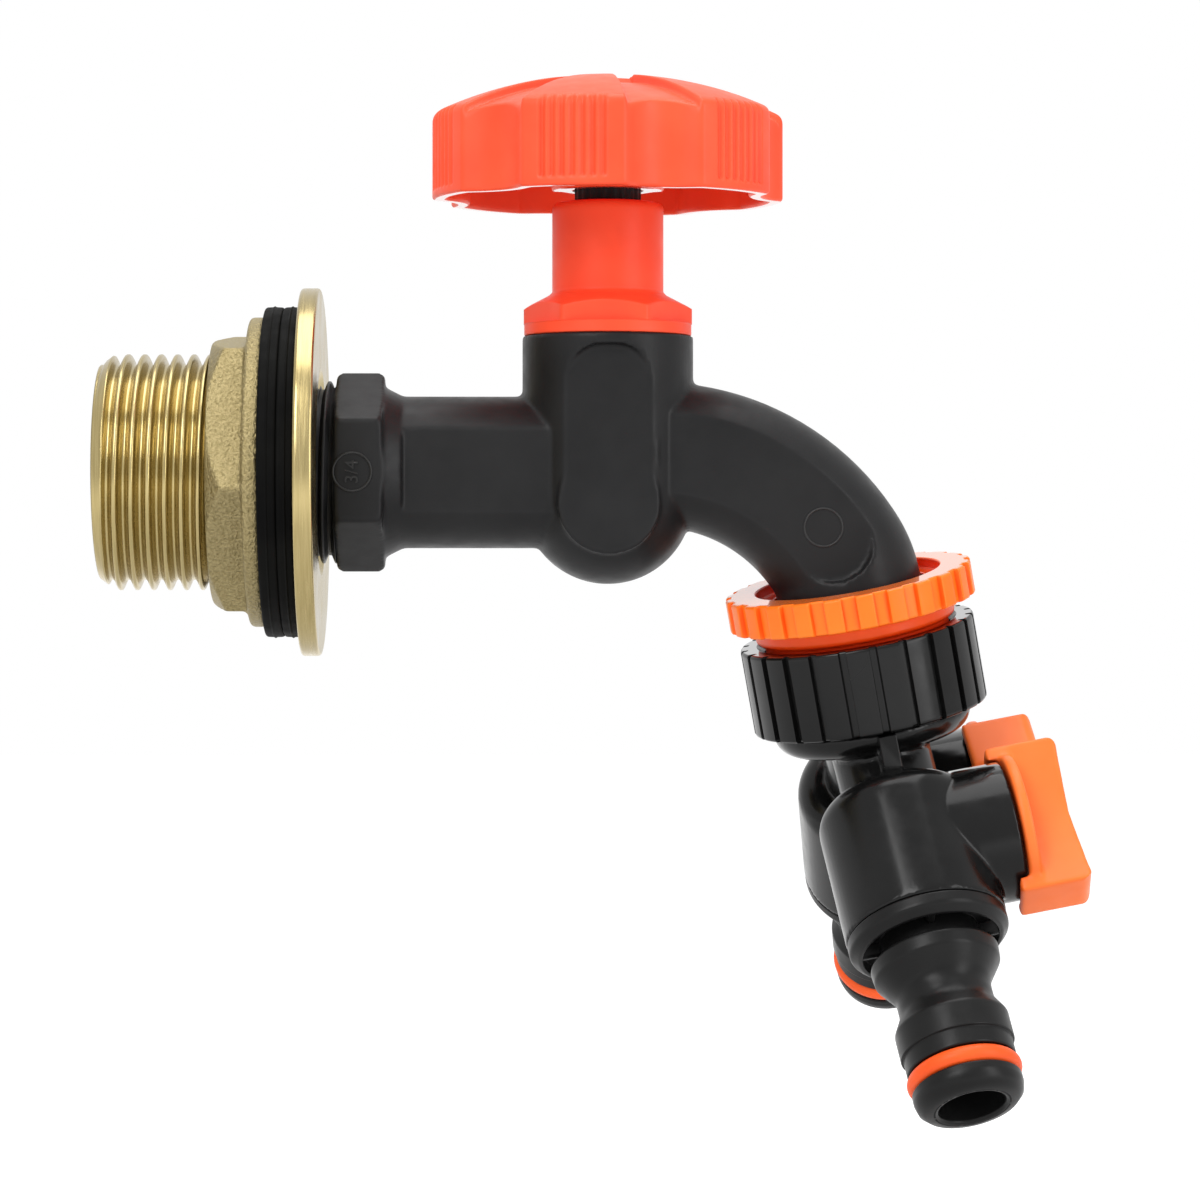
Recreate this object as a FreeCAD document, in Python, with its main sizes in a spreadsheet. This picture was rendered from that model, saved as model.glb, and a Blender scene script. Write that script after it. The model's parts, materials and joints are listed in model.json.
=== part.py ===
import FreeCAD, Part
import Sketcher
import math
import os
from types import SimpleNamespace

# Water butt tap: brass tank connector, bib tap with a screw-down valve, and a two-way
# distributor with a ball valve on each leg.
# Frame: millimetres, +Z up, +X out of the tank wall along the inlet axis. The origin is on
# the inlet axis at the face where the two rubber washers meet, which is the tank wall.

doc = FreeCAD.newDocument("WaterButtTap")

SIZES = {
    # tank connector, turned brass with a one inch pipe thread outside
    "spigot_thread_r": 16.62,
    "spigot_tail": 25.9,
    "spigot_lead": 1.0,
    "spigot_thread_pitch": 2.309,
    "spigot_thread_depth": 1.3,
    "spigot_thread_crest": 0.6,
    "spigot_threads": 10,
    "spigot_bore_r": 12.0,
    "spigot_flange_r": 25.9,
    "spigot_flange_thick": 2.7,
    "spigot_socket_depth": 15.0,
    "spigot_countersink": 1.4,
    "spigot_edge": 0.4,
    # rubber washers either side of the tank wall
    "washer_r": 23.4,
    "outer_washer_thick": 2.4,
    "inner_washer_thick": 2.6,
    "washer_edge": 0.3,
    "washer_bore_gap": 0.2,
    # flanged back nut
    "backnut_flange_r": 21.8,
    "backnut_flange_thick": 2.2,
    "backnut_corner_r": 21.23,
    "backnut_turn": 7.7,
    "backnut_hex_thick": 5.2,
    "backnut_chamfer": 2.3,
    "backnut_chamfer_r": 18.4,
    "backnut_thread_gap": 0.08,
    # inlet of the tap, three quarter inch pipe thread
    "inlet_thread_r": 13.0,
    "inlet_thread_gap": 0.2,
    "inlet_thread_length": 12.2,
    "inlet_relief_r": 11.7,
    "inlet_relief": 3.1,
    "collar_gap": 2.2,
    "collar_corner_r": 14.1,
    "collar_width": 6.8,
    "collar_chamfer": 0.7,
    "collar_flare": 2.6,
    "collar_flare_r": 12.0,
    "tube_r": 10.7,
    "tube_flat": 8.94,
    "inlet_bore_r": 7.6,
    "inlet_bore_end": 32.5,
    # valve chamber
    "chamber_x": 45.5,
    "chamber_r": 12.05,
    "chamber_top": 19.2,
    "bulb_drop": 3.7,
    "bulb_gate_r": 0.8,
    "panel_plane": 10.4,
    "panel_half": 5.9,
    "panel_top": 17.6,
    "panel_corner_r": 5.0,
    "side_boss_r": 7.15,
    "side_boss_drop": 4.5,
    "valve_bore_r": 9.0,
    "seat_floor": 1.0,
    "seat_lip_r": 6.6,
    "seat_hole_r": 5.5,
    "seat_wall": 3.2,
    "well_r": 5.8,
    "well_depth": 12.0,
    "port_r": 3.4,
    "port_drop": 6.2,
    "seal_groove_r": 10.5,
    "seal_groove_depth": 1.0,
    # spout
    "spout_r": 10.25,
    "spout_rise": 2.5,
    "spout_run": 6.8,
    "spout_bend_r": 30.1,
    "spout_bend": 58.0,
    "spout_tip_r": 12.1,
    "spout_bore_r": 5.6,
    "spout_panel_plane": 8.6,
    "spout_panel_half": 5.7,
    "spout_panel_turn": 54.0,
    "outlet_tilt": 10.4,
    "outlet_thread_r": 10.3,
    "outlet_thread_length": 7.8,
    "outlet_bore_r": 6.6,
    # bonnet
    "bonnet_depth": 8.6,
    "bonnet_thread_gap": 0.1,
    "bonnet_flange_r": 11.8,
    "bonnet_flange_thick": 1.7,
    "bonnet_corner_r": 12.0,
    "bonnet_hex_thick": 4.0,
    "bonnet_hex_turn": 3.4,
    "bonnet_hex_bevel": 1.9,
    "bonnet_slope": 0.5,
    "bonnet_neck_r": 7.85,
    "bonnet_neck_top": 38.0,
    "bonnet_neck_round": 0.9,
    "bonnet_nut_top": 21.5,
    "bonnet_seal_gap": 0.1,
    # spindle and jumper
    "spindle_r": 4.7,
    "spindle_gap": 0.05,
    "spindle_thread_r": 5.6,
    "spindle_shoulder": 16.0,
    "spindle_top": 49.5,
    "spindle_screw_depth": 12.0,
    "spindle_oring_z": 32.0,
    "spindle_oring_section_r": 0.7,
    "jumper_r": 7.4,
    "jumper_thick": 2.0,
    "jumper_stem_r": 2.6,
    "jumper_stem_gap": 0.05,
    "jumper_stem": 8.0,
    "valve_washer_r": 6.8,
    "valve_washer_thick": 2.95,
    "seat_gap": 0.05,
    "washer_screw_r": 1.5,
    "washer_screw_gap": 0.05,
    "washer_screw_head_r": 2.7,
    "washer_screw_head": 1.2,
    "washer_screw_length": 7.5,
    # handwheel
    "wheel_r": 24.75,
    "wheel_bottom": 38.3,
    "wheel_rim_top": 50.3,
    "wheel_top": 55.9,
    "wheel_wall": 2.0,
    "wheel_cavity_top": 47.6,
    "wheel_hub_r": 8.0,
    "wheel_hub_bottom": 39.7,
    "wheel_lobes": 6,
    "wheel_turn": 12.4,
    "lobe_width": 35.0,
    "crown_valley": 1.2,
    "crown_cap_r": 9.0,
    "flute_r": 8.3,
    "flute_depth": 2.5,
    "grip_groove_r": 0.6,
    "grip_groove_depth": 0.3,
    "grip_groove_pitch": 3.3,
    "grip_grooves": 7,
    "screw_recess_r": 4.2,
    "screw_recess_depth": 3.0,
    "handle_screw_r": 1.9,
    "handle_screw_gap": 0.1,
    "handle_screw_head_r": 3.7,
    "handle_screw_head": 2.0,
    "handle_screw_length": 11.0,
    # reducer ring on the spout; depths run down from its top face
    "reducer_lap": 1.0,
    "group_pivot": 3.9,
    "group_lean": 8.5,
    "group_swivel": 3.6,
    "reducer_r": 16.8,
    "reducer_tooth_r": 17.5,
    "reducer_teeth": 24,
    "reducer_tooth_width": 2.5,
    "reducer_flange": 4.8,
    "reducer_counterbore_r": 13.15,
    "reducer_counterbore": 1.5,
    "reducer_socket_r": 10.9,
    "reducer_socket_depth": 11.9,
    "reducer_ridge_r": 14.2,
    "reducer_ridge": 2.4,
    "reducer_thread_r": 13.1,
    "reducer_length": 13.4,
    "reducer_bore_r": 7.5,
    "reducer_seal_thick": 1.4,
    "reducer_seal_gap": 0.15,
    # swivel nut
    "swivel_nut_wall": 3.4,
    "swivel_nut_top": 7.5,
    "swivel_nut_bottom": 19.8,
    "swivel_nut_gap": 0.15,
    "swivel_nut_ribs": 24,
    "swivel_nut_slot": 1.1,
    "swivel_nut_slot_depth": 0.7,
    "swivel_nut_lip_r": 11.9,
    "swivel_nut_lip": 2.2,
    "nut_seal_r": 12.8,
    "nut_seal_hole_r": 8.0,
    "nut_seal_thick": 2.2,
    # distributor moulding
    "tail_flange_r": 12.9,
    "tail_flange": 1.9,
    "tail_neck_r": 11.6,
    "cup_r": 14.1,
    "cup_top": 20.1,
    "cup_bottom": 23.6,
    "cup_round": 3.2,
    "cup_bore_r": 8.0,
    "leg_root": 19.8,
    "leg_splay": 40.2,
    "leg_neck_r": 7.0,
    "leg_bore_r": 4.5,
    "ball_distance": 22.5,
    "barrel_r": 11.3,
    "barrel_above": 8.3,
    "barrel_round": 3.8,
    "barrel_below": 12.6,
    "boss_r": 9.8,
    "boss_end": 15.0,
    "rib_thick": 2.6,
    "rib_cup_r": 12.4,
    "rib_cup_depth": 21.6,
    "rib_barrel_out": 10.0,
    "rib_barrel_along": 17.0,
    # ball valves
    "ball_r": 7.2,
    "ball_gap": 0.12,
    "ball_hole_r": 4.5,
    "cavity_r": 8.6,
    "cavity_top": 6.0,
    "cavity_gap": 0.1,
    "ball_seat_hole_r": 4.8,
    "ball_seat_outer": 5.9,
    "ball_seat_stem_gap": 0.3,
    "stem_r": 3.0,
    "stem_gap": 0.06,
    "stem_root": 7.4,
    "tang_root": 5.0,
    "tang_thick": 2.6,
    "tang_gap": 0.06,
    "stem_oring_x": 12.0,
    "stem_oring_section_r": 0.5,
    "stem_square": 4.1,
    "stem_square_gap": 0.05,
    "stem_end": 20.0,
    # levers
    "lever_gap": 0.3,
    "lever_disc_r": 10.4,
    "lever_disc_top": 16.9,
    "lever_half": 11.5,
    "lever_height": 23.8,
    "lever_end_half": 4.0,
    "lever_waist_half": 2.8,
    "lever_dip": 0.7,
    "lever_skirt": 13.6,
    "lever_boss_gap": 0.3,
    # quick connect nipples; lengths run down from the seam with the barrel
    "plug_length": 6.6,
    "nipple_plate": 1.0,
    "nipple_ring_r": 11.2,
    "nipple_ring_wall": 1.6,
    "nipple_ring": 2.8,
    "nipple_ring_bevel": 1.1,
    "nipple_stem_r": 7.0,
    "nipple_web": 1.3,
    "nipple_webs": 4,
    "nipple_cup_r": 9.0,
    "nipple_cup_top": 4.4,
    "nipple_cup_low": 6.4,
    "nipple_waist_r": 6.6,
    "nipple_waist": 12.5,
    "nipple_collar_r": 7.9,
    "nipple_collar_top": 15.0,
    "nipple_collar_low": 18.8,
    "nipple_land_r": 7.55,
    "nipple_groove_top": 21.3,
    "nipple_groove_low": 24.0,
    "nipple_groove_r": 5.3,
    "nipple_head_r": 7.6,
    "nipple_head_round": 2.2,
    "nipple_length": 27.4,
    "nipple_bore_r": 4.6,
    "nipple_oring_section_r": 1.3,
}


class Dim:
    """A size that carries its number and the sheet expression that gives it."""

    def __init__(self, value, text):
        self.value = value
        self.text = text

    def __add__(self, other):
        other = as_dim(other)
        return Dim(self.value + other.value, f"({self.text} + {other.text})")

    def __sub__(self, other):
        other = as_dim(other)
        return Dim(self.value - other.value, f"({self.text} - {other.text})")

    def __mul__(self, other):
        other = as_dim(other)
        return Dim(self.value * other.value, f"({self.text} * {other.text})")

    def __truediv__(self, other):
        other = as_dim(other)
        return Dim(self.value / other.value, f"({self.text} / {other.text})")

    def __neg__(self):
        return Dim(-self.value, f"(0 - {self.text})")

    def __radd__(self, other):
        return as_dim(other) + self

    def __rsub__(self, other):
        return as_dim(other) - self

    def __rmul__(self, other):
        return as_dim(other) * self


def as_dim(number):
    return number if isinstance(number, Dim) else Dim(float(number), f"({float(number)})")


def sine(angle):
    return Dim(math.sin(math.radians(angle.value)), f"sin({angle.text})")


def cosine(angle):
    return Dim(math.cos(math.radians(angle.value)), f"cos({angle.text})")


def root(square):
    return Dim(math.sqrt(square.value), f"sqrt({square.text})")


def edge_height(radius, offset):
    """How far a circle's edge is from its diameter at this offset along the diameter."""
    return root(radius * radius - offset * offset)


sheet = doc.addObject("Spreadsheet::Sheet", "Sizes")
for row, (alias, number) in enumerate(SIZES.items(), start=1):
    sheet.set(f"A{row}", alias)
    sheet.set(f"B{row}", str(number))
    sheet.setAlias(f"B{row}", alias)
doc.recompute()
S = SimpleNamespace(**{alias: Dim(float(number), f"Sizes.{alias}") for alias, number in SIZES.items()})

XY, XZ, YZ = "XY_Plane", "XZ_Plane", "YZ_Plane"
FULL_TURN = 360.0
pieces = []


def make_body(label, placement=None):
    body = doc.addObject("PartDesign::Body", label)
    body.Label = label
    if placement is not None:
        body.Placement = placement
    pieces.append(body)
    return body


def sketch_on(body, name, plane, lift=None, turn=None, shift=None):
    """Sketch on an origin plane, lifted along its normal, moved in it and turned in it."""
    sketch = body.newObject("Sketcher::SketchObject", f"{body.Name}_{name}")
    support = [item for item in body.Origin.OriginFeatures if item.Role == plane][0]
    sketch.AttachmentSupport = [(support, "")]
    sketch.MapMode = "FlatFace"
    if turn is not None:
        angle, sense = turn
        spin = FreeCAD.Rotation(FreeCAD.Vector(0, 0, sense), angle.value)
        sketch.AttachmentOffset = FreeCAD.Placement(FreeCAD.Vector(), spin)
        sketch.setExpression("AttachmentOffset.Rotation.Angle", angle.text)
    if lift is not None:
        sketch.setExpression("AttachmentOffset.Base.z", lift.text)
    if shift is not None:
        sketch.setExpression("AttachmentOffset.Base.x", as_dim(shift[0]).text)
        sketch.setExpression("AttachmentOffset.Base.y", as_dim(shift[1]).text)
    return sketch


def pin_point(sketch, geometry, end, x, y):
    """Tie one end of a curve to two sizes measured from the sketch origin."""
    for kind, size in (("DistanceX", as_dim(x)), ("DistanceY", as_dim(y))):
        index = sketch.addConstraint(Sketcher.Constraint(kind, -1, 1, geometry, end, size.value))
        sketch.setExpression(f"Constraints[{index}]", size.text)


def arc_between(start, finish, radius, left):
    """Arc of this radius from start to finish, with its centre on the left or right of travel."""
    chord = finish - start
    half = chord.Length / 2
    away = math.sqrt(max(radius * radius - half * half, 0.0))
    side = FreeCAD.Vector(-chord.y, chord.x, 0).normalize() * (away if left else -away)
    centre = (start + finish) * 0.5 + side
    first, last = (start, finish) if left else (finish, start)
    angles = [math.atan2(point.y - centre.y, point.x - centre.x) for point in (first, last)]
    return Part.ArcOfCircle(Part.Circle(centre, FreeCAD.Vector(0, 0, 1), radius), *angles)


def outline(sketch, corners):
    """Closed outline. A corner is (x, y), or (x, y, radius, side) where an arc arrives there."""
    points = [FreeCAD.Vector(as_dim(c[0]).value, as_dim(c[1]).value, 0) for c in corners]
    ends = []
    for i, corner in enumerate(corners):
        before, here = points[i - 1], points[i]
        if len(corner) == 2:
            index = sketch.addGeometry(Part.LineSegment(before, here), False)
            ends.append((index, 1, 2))
        else:
            radius, left = as_dim(corner[2]), corner[3] == "left"
            index = sketch.addGeometry(arc_between(before, here, radius.value, left), False)
            ends.append((index, 1, 2) if left else (index, 2, 1))
            constraint = sketch.addConstraint(Sketcher.Constraint("Radius", index, radius.value))
            sketch.setExpression(f"Constraints[{constraint}]", radius.text)
    for i, (index, first, last) in enumerate(ends):
        following, following_first, _ = ends[(i + 1) % len(ends)]
        sketch.addConstraint(Sketcher.Constraint("Coincident", index, last, following, following_first))
        pin_point(sketch, index, last, corners[i][0], corners[i][1])
    return sketch


def circle(sketch, x, y, radius):
    radius = as_dim(radius)
    centre = FreeCAD.Vector(as_dim(x).value, as_dim(y).value, 0)
    index = sketch.addGeometry(Part.Circle(centre, FreeCAD.Vector(0, 0, 1), radius.value), False)
    constraint = sketch.addConstraint(Sketcher.Constraint("Radius", index, radius.value))
    sketch.setExpression(f"Constraints[{constraint}]", radius.text)
    pin_point(sketch, index, 3, x, y)
    return sketch


def polygon(sketch, sides, corner_r, turn):
    """Regular polygon about the sketch origin with its first corner at this angle."""
    corners = []
    for i in range(sides):
        angle = turn + FULL_TURN * i / sides
        corners.append((corner_r * cosine(angle), corner_r * sine(angle)))
    return outline(sketch, corners)


def set_sizes(feature, sizes):
    for name, size in sizes.items():
        feature.setExpression(name, as_dim(size).text)


def add_feature(body, kind, name, sketch, adds, **settings):
    """One sketched feature, checked to add or remove material as it should."""
    doc.recompute()
    before = body.Shape.Volume if body.Tip else 0.0
    feature = body.newObject(f"PartDesign::{kind}", f"{body.Name}_{name}")
    feature.Profile = sketch
    sizes = settings.pop("sizes", {})
    for key, value in settings.items():
        setattr(feature, key, value)
    set_sizes(feature, sizes)
    doc.recompute()
    change = body.Shape.Volume - before
    if (change <= 0) if adds else (change >= 0):
        feature.Reversed = not feature.Reversed
        doc.recompute()
        change = body.Shape.Volume - before
    if (change <= 0) if adds else (change >= 0):
        raise RuntimeError(f"{feature.Name} changes nothing")
    return feature


def turn(body, name, sketch, axis, cut=False):
    kind = "Groove" if cut else "Revolution"
    return add_feature(body, kind, name, sketch, not cut, ReferenceAxis=(sketch, [axis]), Angle=FULL_TURN)


def pad(body, name, sketch, length, **settings):
    return add_feature(body, "Pad", name, sketch, True, sizes={"Length": length}, **settings)


def pocket(body, name, sketch, length, **settings):
    return add_feature(body, "Pocket", name, sketch, False, sizes={"Length": length}, **settings)


def polar(body, name, feature, axis, count):
    """Repeat a feature evenly about a sketch axis."""
    pattern = body.newObject("PartDesign::PolarPattern", f"{body.Name}_{name}")
    pattern.Originals = [feature]
    pattern.Axis = axis
    pattern.Angle = FULL_TURN
    pattern.setExpression("Occurrences", count.text)
    body.Tip = pattern
    doc.recompute()
    return pattern


def turned(label, corners, axis, placement=None):
    """A piece turned from one outline in the XZ plane."""
    body = make_body(label, placement)
    turn(body, "turning", outline(sketch_on(body, "section", XZ), corners), axis)
    return body


def ring(label, inner_r, outer_r, low, high, axis, placement=None):
    """Plain ring with a rectangular section; low and high are along its axis."""
    if axis == "H_Axis":
        corners = [(low, inner_r), (high, inner_r), (high, outer_r), (low, outer_r)]
    else:
        corners = [(inner_r, low), (outer_r, low), (outer_r, high), (inner_r, high)]
    return turned(label, corners, axis, placement)


def o_ring(label, ring_r, section_r, height, placement=None):
    """O-ring about the body's Z axis at this height."""
    body = make_body(label, placement)
    turn(body, "section_sweep", circle(sketch_on(body, "section", XZ), ring_r, height, section_r), "V_Axis")
    return body




FLANGE_FACE = S.outer_washer_thick + S.spigot_flange_thick
COLLAR = FLANGE_FACE + S.collar_gap
COLLAR_END = COLLAR + S.collar_width
TUBE_START = COLLAR_END + S.collar_flare
THREAD_START = COLLAR - S.inlet_relief - S.inlet_thread_length
SIDES = {"front": -1, "rear": 1}


def make_tank_connector():
    washer_face = S.outer_washer_thick
    thread_r = S.spigot_thread_r
    socket_r = S.inlet_thread_r + S.inlet_thread_gap
    socket_end = FLANGE_FACE - S.spigot_socket_depth
    edge = S.spigot_edge
    root_r = thread_r - S.spigot_thread_depth
    flank = (S.spigot_thread_pitch - S.spigot_thread_crest) / 2
    ridges = []
    for i in reversed(range(int(S.spigot_threads.value))):
        crest = S.spigot_lead - S.spigot_tail + S.spigot_thread_pitch * i
        ridges.append((crest + S.spigot_thread_pitch, thread_r))
        ridges.append((crest + S.spigot_thread_crest + flank, root_r))
        ridges.append((crest + S.spigot_thread_crest, thread_r))
    turned("brass_spigot", [
        (-S.spigot_tail, S.spigot_bore_r),
        (socket_end, S.spigot_bore_r),
        (socket_end, socket_r),
        (FLANGE_FACE - S.spigot_countersink, socket_r),
        (FLANGE_FACE, socket_r + S.spigot_countersink),
        (FLANGE_FACE, S.spigot_flange_r - edge),
        (FLANGE_FACE - edge, S.spigot_flange_r),
        (washer_face + edge, S.spigot_flange_r),
        (washer_face, S.spigot_flange_r - edge),
        (washer_face, thread_r),
        *ridges,
        (S.spigot_lead - S.spigot_tail, thread_r),
        (-S.spigot_tail, thread_r - S.spigot_lead),
    ], "H_Axis")
    washers = {
        "outer_rubber_washer": (as_dim(0), S.outer_washer_thick),
        "inner_rubber_washer": (-S.inner_washer_thick, as_dim(0)),
    }
    for label, (low, high) in washers.items():
        turned(label, [
            (low, thread_r + S.washer_bore_gap),
            (high, thread_r + S.washer_bore_gap),
            (high, S.washer_r - S.washer_edge),
            (high - S.washer_edge, S.washer_r),
            (low + S.washer_edge, S.washer_r),
            (low, S.washer_r - S.washer_edge),
        ], "H_Axis")


def make_backnut():
    """Round flange with a hexagon whose free end is chamfered."""
    body = make_body("backnut")
    face = -S.inner_washer_thick
    step = face - S.backnut_flange_thick
    end = step - S.backnut_hex_thick
    bore_r = S.spigot_thread_r + S.backnut_thread_gap
    hexagon = polygon(sketch_on(body, "hexagon", YZ, lift=end), 6, S.backnut_corner_r, S.backnut_turn)
    pad(body, "hexagon_pad", hexagon, S.backnut_hex_thick)
    flange = outline(sketch_on(body, "flange", XZ), [
        (step, 0),
        (face, 0),
        (face, S.backnut_flange_r),
        (step + S.spigot_edge, S.backnut_flange_r),
        (step, S.backnut_flange_r - S.spigot_edge),
    ])
    turn(body, "flange_turning", flange, "H_Axis")
    bevel = outline(sketch_on(body, "bevel", XZ), [
        (end, S.backnut_chamfer_r),
        (end + S.backnut_chamfer, S.backnut_corner_r),
        (end, S.backnut_corner_r),
    ])
    turn(body, "bevel_turning", bevel, "H_Axis", cut=True)
    bore = circle(sketch_on(body, "bore", YZ, lift=end), 0, 0, bore_r)
    pocket(body, "thread_bore", bore, S.backnut_hex_thick + S.backnut_flange_thick)


def spout_points():
    """Start of the bend, end of the bend and outlet on the spout's centre line."""
    start_x = S.chamber_x + S.spout_run
    last = 90 - S.outlet_tilt
    bend_x = start_x + S.spout_bend_r * sine(S.spout_bend)
    bend_z = S.spout_rise - S.spout_bend_r * (1 - cosine(S.spout_bend))
    outlet_x = bend_x + S.spout_tip_r * (sine(last) - sine(S.spout_bend))
    outlet_z = bend_z - S.spout_tip_r * (cosine(S.spout_bend) - cosine(last))
    return [(start_x, S.spout_rise), (bend_x, bend_z), (outlet_x, outlet_z)]


def spout_sweep(body, name, kind, radius, from_axis):
    """Sweep a circle along the spout, from the chamber's axis or from the start of the bend."""
    path = sketch_on(body, f"{name}_path", XZ)
    stations = spout_points()
    if from_axis:
        first = (S.chamber_x, S.spout_rise)
        ends = [FreeCAD.Vector(x.value, z.value, 0) for x, z in (first, stations[0])]
        index = path.addGeometry(Part.LineSegment(*ends), False)
        pin_point(path, index, 1, *first)
        pin_point(path, index, 2, *stations[0])
    for here, following, radius_of_bend in zip(stations, stations[1:], (S.spout_bend_r, S.spout_tip_r)):
        ends = [FreeCAD.Vector(x.value, z.value, 0) for x, z in (here, following)]
        index = path.addGeometry(arc_between(*ends, radius_of_bend.value, False), False)
        constraint = path.addConstraint(Sketcher.Constraint("Radius", index, radius_of_bend.value))
        path.setExpression(f"Constraints[{constraint}]", radius_of_bend.text)
        pin_point(path, index, 2, *here)
        pin_point(path, index, 1, *following)
    start_x = S.chamber_x if from_axis else stations[0][0]
    section = circle(sketch_on(body, f"{name}_section", YZ, lift=start_x), 0, S.spout_rise, radius)
    doc.recompute()
    before = body.Shape.Volume
    sweep = body.newObject(f"PartDesign::{kind}", f"{body.Name}_{name}")
    sweep.Profile = section
    sweep.Spine = (path, [f"Edge{i + 1}" for i in range(path.GeometryCount)])
    doc.recompute()
    if abs(body.Shape.Volume - before) < 1:
        raise RuntimeError(f"{sweep.Name} changes nothing")


def side_cut(body, name, plane, corners, shift=None):
    """Cut a flat on the front and on the rear, outside this distance from the middle."""
    for label, side in SIDES.items():
        sketch = sketch_on(body, f"{name}_{label}", XZ, lift=-side * plane, shift=shift)
        outline(sketch, corners)
        pocket(body, f"{name}_cut_{label}", sketch, S.chamber_r, Reversed=side < 0)


def make_tap_body():
    body = make_body("tap_body")
    edge = S.collar_chamfer
    inlet = outline(sketch_on(body, "inlet", XZ), [
        (THREAD_START, 0),
        (THREAD_START, S.inlet_thread_r - edge),
        (THREAD_START + edge, S.inlet_thread_r),
        (COLLAR - S.inlet_relief, S.inlet_thread_r),
        (COLLAR - S.inlet_relief, S.inlet_relief_r),
        (COLLAR, S.inlet_relief_r),
        (COLLAR_END, S.collar_flare_r),
        (TUBE_START, S.tube_r),
        (S.chamber_x, S.tube_r),
        (S.chamber_x, 0),
    ])
    turn(body, "inlet_turning", inlet, "H_Axis")
    flat_half = edge_height(S.tube_r, S.tube_flat) + edge
    side_cut(body, "tube_flat", S.tube_flat, [
        (TUBE_START, -flat_half),
        (S.chamber_x, -flat_half),
        (S.chamber_x, flat_half),
        (TUBE_START, flat_half),
    ])
    hexagon = polygon(sketch_on(body, "collar", YZ, lift=COLLAR), 6, S.collar_corner_r, as_dim(90))
    pad(body, "collar_pad", hexagon, S.collar_width)
    for name, face, inward in (("near", COLLAR, edge), ("far", COLLAR_END, -edge)):
        bevel = outline(sketch_on(body, f"collar_{name}", XZ), [
            (face, S.collar_corner_r - edge),
            (face + inward, S.collar_corner_r),
            (face, S.collar_corner_r),
        ])
        turn(body, f"collar_bevel_{name}", bevel, "H_Axis", cut=True)
    spout_sweep(body, "spout", "AdditivePipe", S.spout_r, True)
    make_spout_panel(body)
    make_chamber(body)
    make_outlet_thread(body)
    make_passages(body)


def make_spout_panel(body):
    """Flat on each side of the spout, with a round end near the outlet."""
    (start_x, _), _, _ = spout_points()
    centre_z = S.spout_rise - S.spout_bend_r
    outer = S.spout_bend_r + S.spout_panel_half
    inner = S.spout_bend_r - S.spout_panel_half
    end_sine, end_cosine = sine(S.spout_panel_turn), cosine(S.spout_panel_turn)
    side_cut(body, "spout_panel", S.spout_panel_plane, [
        (start_x, centre_z + outer),
        (start_x + outer * end_sine, centre_z + outer * end_cosine, outer, "right"),
        (start_x + S.spout_bend_r * end_sine + S.spout_panel_half * end_cosine,
         centre_z + S.spout_bend_r * end_cosine - S.spout_panel_half * end_sine, S.spout_panel_half, "right"),
        (start_x + inner * end_sine, centre_z + inner * end_cosine, S.spout_panel_half, "right"),
        (start_x, centre_z + inner, inner, "left"),
    ])


def make_chamber(body):
    """Upright valve chamber with a round bulb below and a keyhole panel on each side."""
    axis = (S.chamber_x, 0)
    gate_z = -S.bulb_drop - edge_height(S.chamber_r, S.bulb_gate_r)
    chamber = outline(sketch_on(body, "chamber", XZ, shift=axis), [
        (0, gate_z),
        (S.bulb_gate_r, gate_z),
        (S.chamber_r, -S.bulb_drop, S.chamber_r, "left"),
        (S.chamber_r, S.chamber_top),
        (0, S.chamber_top),
    ])
    turn(body, "chamber_turning", chamber, "V_Axis")
    corner = S.panel_corner_r
    panel_bottom = -S.side_boss_drop - S.side_boss_r
    side_cut(body, "panel", S.panel_plane, [
        (-S.panel_half, panel_bottom),
        (S.panel_half, panel_bottom),
        (S.panel_half, S.panel_top - corner),
        (S.panel_half - corner, S.panel_top, corner, "left"),
        (corner - S.panel_half, S.panel_top),
        (-S.panel_half, S.panel_top - corner, corner, "left"),
    ], axis)
    boss = circle(sketch_on(body, "side_boss", XZ, shift=axis), 0, -S.side_boss_drop, S.side_boss_r)
    pad(body, "side_boss_pad", boss, 2 * S.panel_plane, Midplane=True)


def make_outlet_thread(body):
    """Plain cylinder for the male thread, along the tilted outlet."""
    _, _, (outlet_x, outlet_z) = spout_points()
    thread = sketch_on(body, "outlet_thread", XZ, turn=(S.outlet_tilt, 1), shift=(outlet_x, outlet_z))
    outline(thread, [
        (0, 0),
        (0, -S.outlet_thread_length),
        (S.outlet_thread_r, -S.outlet_thread_length),
        (S.outlet_thread_r, 0),
    ])
    turn(body, "outlet_thread_turning", thread, "V_Axis")
    bore = sketch_on(body, "outlet_bore", XZ, turn=(S.outlet_tilt, 1), shift=(outlet_x, outlet_z))
    outline(bore, [
        (0, 0),
        (0, -S.outlet_thread_length),
        (S.outlet_bore_r, -S.outlet_thread_length),
        (S.outlet_bore_r, 0),
    ])
    turn(body, "outlet_bore_turning", bore, "V_Axis", cut=True)


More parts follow.
